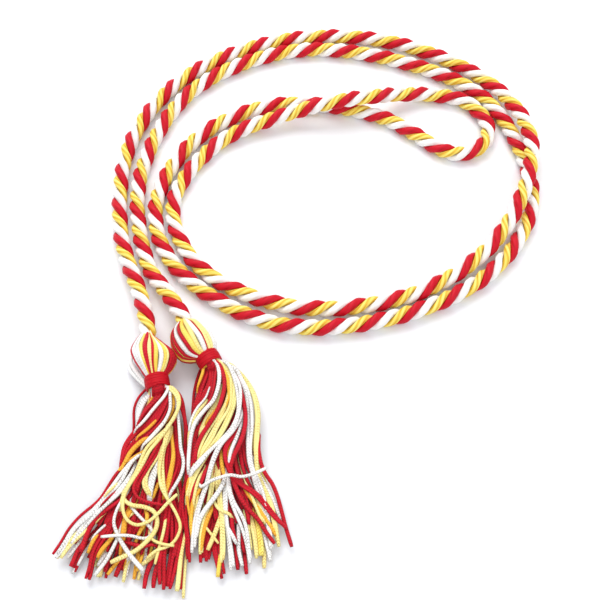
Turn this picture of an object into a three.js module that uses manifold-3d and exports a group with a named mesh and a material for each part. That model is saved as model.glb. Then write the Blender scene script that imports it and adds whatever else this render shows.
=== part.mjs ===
// An honor cord: a twisted rope of three colours, folded in half and laid in one and a half doubled turns,
// with a tassel on each end. Each tassel is a bulb of folded cords, a wound band and a skirt of locks.
// Millimetres, +Z up, floor at z = 0, +X to the right and -Y the way the tassels point.
import * as THREE from "three";
import { mergeVertices } from "three/addons/utils/BufferGeometryUtils.js";
import Module from "manifold-3d";

// Rope
const ROPE_DIAMETER = 6.8;
const ROPE_SIDES = 12;
const STEPS_PER_SPAN = 2;

// Gap left between pieces that touch on the real cord
const CLEARANCE = 0.3;

// Tassel head, the bulb of cords folded down over the end of the rope
const HEAD_LENGTH = 16.6;
const HEAD_WIDTH = 17.2;
const HEAD_HEIGHT = 15.8;
const HEAD_CORDS = 12;
const HEAD_CORD_RELIEF = 0.7;
const POINTS_PER_CORD = 3;

// Wound band round the neck
const BAND_LENGTH = 5.4;
const BAND_DIAMETER = 9.4;
const BAND_WALL = 1.1;
const BAND_TURNS = 5;
const BAND_TURN_RELIEF = 0.3;
const BAND_SIDES = 24;

// Skirt
const SKIRT_LENGTH = 78;
const LEFT_SPREAD = 47;
const RIGHT_SPREAD = 35.5;
const PILE_HEIGHT = 14;
const LOCK_WIDTH = 8.4;
const LOCK_HEIGHT = 5.6;
const LOCK_SIDES = 8;
const LOCK_STEPS = 9;
const CORE_SIDES = 12;
const CORE_STEPS = 8;
const CORE_FILL = 0.74;
const PLUG_DEPTH = 4;
const LEAN_REACH = 0.25;

// The rope's centreline from the left tassel to the right one, with a hump where it lies over itself.
const ROPE_ROUTE = [
  [-14.9, 45.3, 8.0],
  [-18.5, 59.0, 7.2],
  [-31.4, 95.5, 3.6],
  [-30.9, 142.0, 3.4],
  [-9.0, 179.0, 3.4],
  [36.0, 202.0, 3.4],
  [88.0, 201.2, 3.4],
  [131.2, 176.8, 4.4],
  [146.4, 144.0, 9.6],
  [141.8, 114.5, 10.6],
  [125.0, 87.0, 5.0],
  [91.0, 64.8, 3.4],
  [42.0, 59.3, 3.4],
  [2.8, 78.0, 3.4],
  [-9.9, 109.0, 3.4],
  [8.6, 141.6, 3.4],
  [40.0, 155.4, 6.6],
  [68.0, 159.8, 11.4],
  [104.0, 168.8, 3.7],
  [121.8, 164.4, 3.4],
  [130.0, 151.8, 3.4],
  [127.0, 140.4, 3.4],
  [114.0, 135.6, 3.4],
  [81.0, 156.4, 3.4],
  [34.0, 163.0, 3.4],
  [-1.5, 143.8, 3.4],
  [-17.3, 108.5, 3.4],
  [-7.7, 78.7, 3.4],
  [32.6, 52.2, 3.4],
  [82.0, 54.2, 3.4],
  [126.0, 77.0, 3.4],
  [145.8, 113.0, 3.4],
  [131.4, 165.0, 3.4],
  [94.0, 188.4, 3.4],
  [42.0, 195.6, 3.4],
  [-5.0, 171.4, 3.4],
  [-25.2, 123.5, 3.4],
  [-18.8, 79.4, 3.8],
  [-7.0, 60.9, 7.3],
  [-0.9, 51.0, 8.0],
];

// The bulb's shape: how far down it, and how far it swells from the neck to the full width.
const HEAD_SHAPE = [
  { down: 0.0, swell: 0.12 },
  { down: 0.05, swell: 0.45 },
  { down: 0.16, swell: 0.74 },
  { down: 0.31, swell: 0.95 },
  { down: 0.47, swell: 1.0 },
  { down: 0.63, swell: 0.87 },
  { down: 0.79, swell: 0.56 },
  { down: 0.92, swell: 0.28 },
  { down: 1.0, swell: 0.16 },
];

// How the skirt lies down: heights of its lower and upper locks as shares of the pile, down its length.
const DRAPE = [
  { down: 0.0, low: 0.5, high: 0.66 },
  { down: 0.12, low: 0.36, high: 0.76 },
  { down: 0.28, low: 0.18, high: 0.62 },
  { down: 0.55, low: 0.16, high: 0.48 },
  { down: 0.8, low: 0.14, high: 0.36 },
  { down: 1.0, low: 0.1, high: 0.2 },
];

// A lock's own width and height down its length, as shares of the full ones.
const TAPER = [
  { down: 0.0, width: 0.42, height: 0.62 },
  { down: 0.14, width: 0.8, height: 0.95 },
  { down: 0.35, width: 1.0, height: 1.0 },
  { down: 0.75, width: 0.92, height: 0.86 },
  { down: 1.0, width: 0.5, height: 0.5 },
];

// Each tassel: the way its head and skirt point, turned from -Y towards +X, the skirt's outline with its
// middle and half width as shares of the half spread, and its locks, with the side each starts and ends on.
const TASSELS = [
  {
    side: "left",
    ropeEnd: 0,
    headTurn: 13.2,
    skirtTurn: -6,
    spread: LEFT_SPREAD,
    outline: [
      { down: 0.0, middle: 0.0, half: 0.19 },
      { down: 0.15, middle: 0.08, half: 0.39 },
      { down: 0.29, middle: 0.1, half: 0.49 },
      { down: 0.44, middle: 0.06, half: 0.61 },
      { down: 0.61, middle: -0.02, half: 0.79 },
      { down: 0.82, middle: -0.11, half: 0.98 },
      { down: 1.0, middle: -0.06, half: 1.0 },
    ],
    locks: [
      { from: -0.84, to: -1.0, reach: 0.84, layer: 0 },
      { from: -0.55, to: -0.66, reach: 0.9, layer: 0 },
      { from: -0.28, to: -0.3, reach: 0.89, layer: 0 },
      { from: 0.02, to: 0.0, reach: 0.92, layer: 0 },
      { from: 0.3, to: 0.32, reach: 0.93, layer: 0 },
      { from: 0.58, to: 0.64, reach: 0.92, layer: 0 },
      { from: 0.82, to: 0.96, reach: 0.955, layer: 0 },
      { from: 0.62, to: -0.72, reach: 0.72, layer: 1 },
      { from: 0.28, to: -0.42, reach: 0.82, layer: 1 },
      { from: -0.5, to: -0.1, reach: 0.86, layer: 1 },
      { from: 0.66, to: 0.2, reach: 0.84, layer: 1 },
      { from: 0.72, to: 0.62, reach: 0.88, layer: 1 },
    ],
  },
  {
    side: "right",
    ropeEnd: ROPE_ROUTE.length - 1,
    headTurn: 31,
    skirtTurn: 10,
    spread: RIGHT_SPREAD,
    outline: [
      { down: 0.0, middle: 0.0, half: 0.25 },
      { down: 0.1, middle: 0.09, half: 0.48 },
      { down: 0.22, middle: 0.12, half: 0.66 },
      { down: 0.38, middle: 0.03, half: 0.73 },
      { down: 0.5, middle: -0.02, half: 0.76 },
      { down: 0.67, middle: 0.06, half: 0.91 },
      { down: 0.88, middle: 0.06, half: 1.0 },
      { down: 1.0, middle: 0.02, half: 0.96 },
    ],
    locks: [
      { from: -0.78, to: -0.96, reach: 0.88, layer: 0 },
      { from: -0.45, to: -0.56, reach: 1.0, layer: 0 },
      { from: -0.12, to: -0.17, reach: 0.97, layer: 0 },
      { from: 0.2, to: 0.22, reach: 1.0, layer: 0 },
      { from: 0.5, to: 0.62, reach: 0.97, layer: 0 },
      { from: 0.78, to: 1.0, reach: 0.91, layer: 0 },
      { from: 0.55, to: -0.5, reach: 0.86, layer: 1 },
      { from: -0.5, to: -0.05, reach: 0.9, layer: 1 },
      { from: 0.1, to: 0.3, reach: 0.93, layer: 1 },
      { from: 0.66, to: 0.66, reach: 0.84, layer: 1 },
    ],
  },
];

const CRIMSON = new THREE.MeshStandardMaterial({ color: 0xc01f35, roughness: 0.42, metalness: 0 });
const GOLD = new THREE.MeshStandardMaterial({ color: 0xf3c64a, roughness: 0.42, metalness: 0 });
const IVORY = new THREE.MeshStandardMaterial({ color: 0xf4ecc8, roughness: 0.5, metalness: 0 });

const HALF_TURN = Math.PI;
const AXIS_HEIGHT = HEAD_HEIGHT / 2;
const NECK_RADIUS = BAND_DIAMETER / 2 - BAND_WALL - CLEARANCE;

const wasm = await Module();
wasm.setup();

// The value of one column of a table at a share down it, on straight lines between its rows.
function valueAt(rows, column, down) {
  const next = rows.findIndex((row) => row.down >= down);
  if (next < 0) return rows[rows.length - 1][column];
  if (next === 0) return rows[0][column];
  const [a, b] = [rows[next - 1], rows[next]];
  return THREE.MathUtils.mapLinear(down, a.down, b.down, a[column], b[column]);
}

function toSolid(geometry) {
  const bare = geometry.clone();
  bare.deleteAttribute("normal");
  bare.deleteAttribute("uv");
  const merged = mergeVertices(bare, 1e-4);
  const mesh = new wasm.Mesh({
    numProp: 3,
    vertProperties: merged.attributes.position.array,
    triVerts: new Uint32Array(merged.index.array),
  });
  return new wasm.Manifold(mesh);
}

function toGeometry(solid) {
  const mesh = solid.getMesh();
  const geometry = new THREE.BufferGeometry();
  geometry.setAttribute("position", new THREE.BufferAttribute(mesh.vertProperties, 3));
  geometry.setIndex(new THREE.BufferAttribute(mesh.triVerts, 1));
  geometry.computeVertexNormals();
  return geometry;
}

// A solid without what would lie below the floor, so that it rests on a flat underside.
function aboveFloor(solid) {
  const size = 4 * SKIRT_LENGTH;
  const below = new THREE.BoxGeometry(size, size, size).translate(0, 0, -size / 2);
  return solid.subtract(toSolid(below));
}

function namedMesh(name, geometry, material) {
  const mesh = new THREE.Mesh(geometry, material);
  mesh.name = name;
  return mesh;
}

// The rope steps along the route's own points, so its steps are short in the fold and long on the wide turns,
// and it lies on the floor where it isn't lifted.
class RouteCurve extends THREE.CatmullRomCurve3 {
  getUtoTmapping(u) {
    return u;
  }

  getPoint(t, target) {
    const point = super.getPoint(t, target);
    point.z = Math.max(point.z, ROPE_DIAMETER / 2);
    return point;
  }
}

// The rope's section: a polygon inside its round outline, with a flat side down.
function ropeSection() {
  const section = new THREE.Shape();
  for (let i = 0; i < ROPE_SIDES; i++) {
    const angle = ((i + 0.5) / ROPE_SIDES) * 2 * HALF_TURN;
    const x = (ROPE_DIAMETER / 2) * Math.cos(angle);
    const y = (ROPE_DIAMETER / 2) * Math.sin(angle);
    if (i === 0) section.moveTo(x, y);
    else section.lineTo(x, y);
  }
  section.closePath();
  return section;
}

function rope() {
  const points = ROPE_ROUTE.map((point) => new THREE.Vector3(...point));
  const geometry = new THREE.ExtrudeGeometry(ropeSection(), {
    extrudePath: new RouteCurve(points),
    steps: STEPS_PER_SPAN * (points.length - 1),
    bevelEnabled: false,
  });
  return namedMesh("rope", geometry, CRIMSON);
}

// The bulb, turned about its own length from the rope down to the middle of the band, with a rib for each cord.
function headGeometry() {
  const fullRadius = HEAD_WIDTH / 2;
  const neckEnd = -(HEAD_LENGTH + CLEARANCE + BAND_LENGTH / 2 - CLEARANCE / 2);
  const profile = [new THREE.Vector2(0, neckEnd), new THREE.Vector2(NECK_RADIUS, neckEnd)];
  profile.push(new THREE.Vector2(NECK_RADIUS, -HEAD_LENGTH));
  for (const row of [...HEAD_SHAPE].reverse()) {
    const radius = THREE.MathUtils.lerp(NECK_RADIUS, fullRadius, row.swell);
    profile.push(new THREE.Vector2(radius, -row.down * HEAD_LENGTH));
  }
  profile.push(new THREE.Vector2(0, 0));
  const geometry = new THREE.LatheGeometry(profile, HEAD_CORDS * POINTS_PER_CORD);
  const at = geometry.attributes.position;
  for (let i = 0; i < at.count; i++) {
    const radius = Math.hypot(at.getX(i), at.getZ(i));
    const swell = (radius - NECK_RADIUS) / (fullRadius - NECK_RADIUS);
    if (swell < 1e-3) continue;
    const around = Math.atan2(at.getX(i), at.getZ(i));
    const groove = 1 - Math.abs(Math.cos((HEAD_CORDS * around) / 2));
    const scale = 1 - (HEAD_CORD_RELIEF * groove * Math.min(1, 2 * swell)) / radius;
    at.setX(i, at.getX(i) * scale);
    at.setZ(i, at.getZ(i) * scale);
  }
  geometry.scale(1, 1, HEAD_HEIGHT / HEAD_WIDTH);
  return geometry;
}

function head(name) {
  const solid = toSolid(headGeometry().translate(0, 0, AXIS_HEIGHT));
  return namedMesh(name, toGeometry(aboveFloor(solid)), GOLD);
}

// The wound band, a ring whose outside shows its turns of thread.
function band(name) {
  const outer = BAND_DIAMETER / 2;
  const inner = outer - BAND_WALL;
  const bottom = -BAND_LENGTH / 2;
  const turn = BAND_LENGTH / BAND_TURNS;
  const profile = [new THREE.Vector2(inner, bottom)];
  for (let i = 0; i < BAND_TURNS; i++) {
    profile.push(new THREE.Vector2(outer - BAND_TURN_RELIEF, bottom + i * turn));
    profile.push(new THREE.Vector2(outer, bottom + (i + 0.5) * turn));
  }
  profile.push(new THREE.Vector2(outer - BAND_TURN_RELIEF, -bottom));
  profile.push(new THREE.Vector2(inner, -bottom));
  profile.push(profile[0].clone());
  const mesh = namedMesh(name, new THREE.LatheGeometry(profile, BAND_SIDES), CRIMSON);
  mesh.position.set(0, -(HEAD_LENGTH + CLEARANCE + BAND_LENGTH / 2), AXIS_HEIGHT);
  return mesh;
}

// How much the skirt's rings lean, so that its first ring is square to the band that it comes out of.
function leanAt(tassel, down) {
  const bend = THREE.MathUtils.degToRad(tassel.headTurn - tassel.skirtTurn);
  return Math.tan(bend) * (1 - THREE.MathUtils.smoothstep(down, 0, LEAN_REACH));
}

// A closed loft that runs down -Y: rings of a cylinder moved and sized by what sectionAt(share) says.
function loft(sides, steps, sectionAt) {
  const geometry = new THREE.CylinderGeometry(1, 1, 1, sides, steps, false, HALF_TURN / sides);
  const at = geometry.attributes.position;
  for (let i = 0; i < at.count; i++) {
    const section = sectionAt(0.5 - at.getY(i));
    const x = section.x + at.getX(i) * section.halfWidth;
    const z = section.z + at.getZ(i) * section.halfHeight;
    at.setXYZ(i, x, section.lean * x - section.down, z);
  }
  return geometry;
}

// One lock of cords, from the band to its own end.
function lock(tassel, row) {
  const halfSpread = tassel.spread / 2;
  return loft(LOCK_SIDES, LOCK_STEPS, (share) => {
    const down = share * row.reach;
    const side = THREE.MathUtils.lerp(row.from, row.to, THREE.MathUtils.smoothstep(share, 0.05, 0.95));
    const halfWidth = (LOCK_WIDTH / 2) * valueAt(TAPER, "width", share);
    const room = Math.max(0, halfSpread * valueAt(tassel.outline, "half", down) - halfWidth);
    const height = valueAt(DRAPE, row.layer ? "high" : "low", down);
    return {
      x: halfSpread * valueAt(tassel.outline, "middle", down) + side * room,
      z: PILE_HEIGHT * height,
      down: down * SKIRT_LENGTH,
      lean: leanAt(tassel, down),
      halfWidth,
      halfHeight: (LOCK_HEIGHT / 2) * valueAt(TAPER, "height", share),
    };
  });
}

// The mass of cords under the locks, which joins them.
function core(tassel) {
  const halfSpread = tassel.spread / 2;
  const reach = CORE_FILL;
  return loft(CORE_SIDES, CORE_STEPS, (share) => {
    const down = share * reach;
    const low = PILE_HEIGHT * valueAt(DRAPE, "low", down);
    const high = PILE_HEIGHT * valueAt(DRAPE, "high", down);
    return {
      x: halfSpread * valueAt(tassel.outline, "middle", down),
      z: (low + high) / 2,
      down: down * SKIRT_LENGTH,
      lean: leanAt(tassel, down),
      halfWidth: CORE_FILL * halfSpread * valueAt(tassel.outline, "half", down),
      halfHeight: (high - low) / 2 + (LOCK_HEIGHT / 2) * CORE_FILL,
    };
  });
}

// The neck of the skirt, in line with the head, which fills the lower half of the band.
function plug(tassel) {
  const top = CLEARANCE + BAND_LENGTH / 2 - CLEARANCE / 2;
  const length = top + PLUG_DEPTH;
  const geometry = new THREE.CylinderGeometry(NECK_RADIUS, NECK_RADIUS, length, CORE_SIDES);
  geometry.translate(0, top - length / 2, 0);
  geometry.rotateZ(THREE.MathUtils.degToRad(tassel.headTurn - tassel.skirtTurn));
  return geometry.translate(0, 0, AXIS_HEIGHT);
}

function skirt(name, tassel) {
  let solid = toSolid(core(tassel)).add(toSolid(plug(tassel)));
  for (const row of tassel.locks) solid = solid.add(toSolid(lock(tassel, row)));
  return namedMesh(name, toGeometry(aboveFloor(solid)), IVORY);
}

// A tassel hangs from the end of the rope: head and band in line with it, then the skirt the way it fell.
function tasselGroup(tassel) {
  const group = new THREE.Group();
  const [x, y] = ROPE_ROUTE[tassel.ropeEnd];
  const turn = THREE.MathUtils.degToRad(tassel.headTurn);
  group.position.set(x + CLEARANCE * Math.sin(turn), y - CLEARANCE * Math.cos(turn), 0);
  group.rotation.z = turn;
  group.add(head(tassel.side + "_tassel_head"));
  group.add(band(tassel.side + "_tassel_band"));

  const hanging = new THREE.Group();
  hanging.position.y = -(HEAD_LENGTH + BAND_LENGTH + 2 * CLEARANCE);
  hanging.rotation.z = THREE.MathUtils.degToRad(tassel.skirtTurn - tassel.headTurn);
  hanging.add(skirt(tassel.side + "_tassel_skirt", tassel));
  group.add(hanging);
  return group;
}

const honorCord = new THREE.Group();
honorCord.add(rope());
for (const tassel of TASSELS) honorCord.add(tasselGroup(tassel));

export default honorCord;
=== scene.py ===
"""A graduation honor cord: a twisted rope of three colours with a tassel on each end, on a pale table."""

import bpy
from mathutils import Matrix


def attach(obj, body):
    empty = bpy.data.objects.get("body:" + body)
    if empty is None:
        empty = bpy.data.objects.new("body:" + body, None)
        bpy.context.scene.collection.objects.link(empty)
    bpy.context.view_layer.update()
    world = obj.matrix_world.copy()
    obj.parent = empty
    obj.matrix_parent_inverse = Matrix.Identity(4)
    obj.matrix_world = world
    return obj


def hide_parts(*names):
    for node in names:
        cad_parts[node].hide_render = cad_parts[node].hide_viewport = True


bl_info = {
    "name": "Honor Cord",
    "version": (1, 0, 0),
    "blender": (4, 5, 0),
    "location": "View3D > Sidebar > Honor Cord",
    "description": "Lays a twisted honor cord with two banded tassels on a table",
    "category": "Add Mesh",
}

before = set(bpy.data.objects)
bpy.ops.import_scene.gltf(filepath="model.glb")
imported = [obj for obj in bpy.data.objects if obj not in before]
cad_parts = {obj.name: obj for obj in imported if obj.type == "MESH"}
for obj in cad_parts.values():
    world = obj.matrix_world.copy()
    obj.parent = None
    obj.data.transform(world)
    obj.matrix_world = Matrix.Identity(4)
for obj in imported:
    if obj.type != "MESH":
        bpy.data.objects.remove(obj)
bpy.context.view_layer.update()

import math
import random

import bpy
import numpy as np
from bpy.props import FloatProperty, FloatVectorProperty, IntProperty, PointerProperty
from mathutils import Vector

MM = 0.001

# The rope's centreline from the left tassel to the right one, in millimetres, as its tube has it.
ROPE_ROUTE = (
    (-14.9, 45.3, 8.0), (-18.5, 59.0, 7.2), (-31.4, 95.5, 3.6), (-30.9, 142.0, 3.4), (-9.0, 179.0, 3.4),
    (36.0, 202.0, 3.4), (88.0, 201.2, 3.4), (131.2, 176.8, 4.4), (146.4, 144.0, 9.6), (141.8, 114.5, 10.6),
    (125.0, 87.0, 5.0), (91.0, 64.8, 3.4), (42.0, 59.3, 3.4), (2.8, 78.0, 3.4), (-9.9, 109.0, 3.4),
    (8.6, 141.6, 3.4), (40.0, 155.4, 6.6), (68.0, 159.8, 11.4), (104.0, 168.8, 3.7), (121.8, 164.4, 3.4),
    (130.0, 151.8, 3.4), (127.0, 140.4, 3.4), (114.0, 135.6, 3.4), (81.0, 156.4, 3.4), (34.0, 163.0, 3.4),
    (-1.5, 143.8, 3.4), (-17.3, 108.5, 3.4), (-7.7, 78.7, 3.4), (32.6, 52.2, 3.4), (82.0, 54.2, 3.4),
    (126.0, 77.0, 3.4), (145.8, 113.0, 3.4), (131.4, 165.0, 3.4), (94.0, 188.4, 3.4), (42.0, 195.6, 3.4),
    (-5.0, 171.4, 3.4), (-25.2, 123.5, 3.4), (-18.8, 79.4, 3.8), (-7.0, 60.9, 7.3), (-0.9, 51.0, 8.0),
)

# Where the rope lies on the table, its centreline is this high in millimetres.
ROPE_LOWEST = 3.4

# How many points the rope has between two points of its route, and how many round each strand.
ROUTE_SAMPLES = 60
STRAND_SIDES = 16

# How far the rope's ends go on inside the heads.
IN_HEAD = 5.2 * MM

# The rope's strands: yarn, how thick it is beside the others, and how far its painted shade reaches out of
# its grooves.
ROPE_STRANDS = (("crimson", 1.12, 0.4), ("white", 1.03, 0.13), ("gold", 0.96, 0.8))

# Stripes of the crimson strand along the middle of the rope, read from the photo: how many turns each
# is from the first one, and where it is in the photo's frame, across and down in pixels.
ROPE_STRIPES = (
    (0, 144.5, 310), (6, 145, 114.5), (12, 327, 36.5), (18, 517, 111.5), (24, 429, 290), (30, 196, 265),
    (36, 275, 117.5), (41, 451, 97), (43, 472, 144), (46, 381, 116), (50, 239.5, 116), (56, 181, 274.5),
    (62, 410.5, 311), (68, 518, 147.5), (74, 346, 50.5), (80, 165, 123.5), (86, 170, 307),
)

# In millimetres along the rope: the most that the first stripe is from its left end, and the least and the
# most that one turn takes.
FIRST_STRIPE = 30
TURN_LENGTHS = (13, 22)

# The strands are laid as the camera sees them: this is the side of the rope that it faces.
SEEN_SIDE = Vector((0.0, -0.4524, 0.8918))

# Where each tassel lies, in millimetres and degrees: the head's top, how its head and skirt are turned, and
# the lengths of its head and band.
TASSELS = {
    "left": {"top": (-14.83, 45.01), "head_turn": 13.2, "skirt_turn": -6.0, "head": 18.3, "band": 5.7},
    "right": {"top": (-0.745, 50.74), "head_turn": 31.0, "skirt_turn": 10.0, "head": 16.9, "band": 5.5},
}
AXIS_HEIGHT = 7.9
SKIRT_LENGTH = 78.0

# The bulbs, by the share of the way down: half widths towards the viewer's left, the right and upwards.
HEAD_SHAPES = {
    "left": (
        (-0.06, 2.4, 1.6, 2.0), (0.03, 4.3, 2.0, 2.8), (0.11, 5.6, 2.4, 3.3), (0.22, 7.0, 3.8, 4.6),
        (0.35, 8.0, 5.5, 6.2), (0.43, 7.9, 6.7, 7.0), (0.51, 7.5, 7.8, 7.6), (0.61, 7.0, 8.8, 7.7),
        (0.72, 6.1, 9.0, 7.2), (0.81, 5.4, 8.2, 6.4), (0.93, 4.5, 6.6, 5.1), (1.0, 4.0, 5.0, 4.3),
        (1.1, 3.5, 3.8, 3.6),
    ),
    "right": (
        (-0.03, 3.6, 1.4, 2.0), (0.045, 5.2, 2.0, 2.8), (0.09, 6.7, 3.2, 3.3), (0.16, 7.9, 4.4, 4.0),
        (0.23, 8.6, 4.9, 5.0), (0.38, 9.6, 5.4, 6.6), (0.54, 10.1, 6.0, 7.5), (0.66, 10.1, 6.3, 7.6),
        (0.74, 9.9, 6.3, 7.3), (0.86, 9.2, 6.1, 6.3), (0.95, 7.4, 5.6, 5.3), (1.0, 5.8, 5.0, 4.6),
        (1.06, 4.2, 4.2, 4.1), (1.12, 3.5, 3.5, 3.5),
    ),
}

# How far the cords turn round each bulb on their way down, in degrees for its whole length.
HEAD_TWISTS = {"left": -25, "right": -6}

# The cords round each head, from underneath and clockwise to the viewer's right: each row is the place up to
# which the colour runs, in degrees from the top, and how many cords share it.
HEAD_CORDS = {
    "left": (
        (-150, 3, "white"), (-118, 3, "crimson"), (-94, 2, "white"), (-67, 2, "crimson"), (-34, 3, "white"),
        (-24, 1, "gold"), (-10, 1, "crimson"), (1, 1, "pale"), (10, 1, "crimson"), (20, 1, "gold"),
        (33, 1, "white"), (42, 1, "gold"), (51, 1, "pale"), (92, 3, "crimson"), (120, 3, "gold"),
        (150, 3, "crimson"), (180, 3, "white"),
    ),
    "right": (
        (-150, 3, "gold"), (-118, 3, "white"), (-92, 2, "crimson"), (-77, 1, "gold"), (-67, 1, "crimson"),
        (-62, 1, "gold"), (-51, 1, "crimson"), (-37, 1, "white"), (-27, 1, "crimson"), (-14, 1, "gold"),
        (-3, 1, "pale"), (14, 1, "white"), (22, 1, "crimson"), (50, 2, "pale"), (90, 3, "white"),
        (104, 2, "crimson"), (140, 3, "white"), (180, 4, "crimson"),
    ),
}

# Two loose cords that lie against the left head: down, right and up from its top in millimetres.
HEAD_STRAYS = (
    (
        (3.4, -6.6, -2.4), (6.0, -8.2, -2.8), (9.0, -8.9, -2.8), (12.0, -8.2, -2.6), (17.5, -5.7, -2.0),
        (21.0, -3.6, -1.2),
    ),
    (
        (5.4, -7.4, -4.0), (8.6, -9.9, -4.4), (11.6, -9.8, -4.4), (16.0, -7.6, -3.6), (19.6, -5.4, -2.6),
        (22.0, -3.6, -1.8),
    ),
)

# The skirts' outlines: how far down, then the middle and the half width in millimetres.
SKIRT_OUTLINES = {
    "left": (
        (0.0, 0.0, 4.4), (0.15, 1.9, 9.2), (0.29, 2.4, 11.5), (0.44, 1.4, 14.3), (0.61, -0.5, 18.6),
        (0.82, -2.6, 22.6), (1.0, -1.6, 22.8),
    ),
    "right": (
        (0.0, 0.0, 4.4), (0.1, 1.6, 8.5), (0.22, 2.1, 11.6), (0.38, 0.5, 12.8), (0.5, -0.4, 13.4),
        (0.67, 1.0, 16.0), (0.88, 1.0, 17.3), (1.0, 0.4, 16.6),
    ),
}

# The top of the pile of cords, in millimetres, by the distance from the band.
PILE_TOP = (
    (0, 11.2), (6, 12.2), (14, 12.0), (28, 10.0), (45, 8.2), (62, 6.6), (76, 5.4), (90, 4.6),
)

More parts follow.
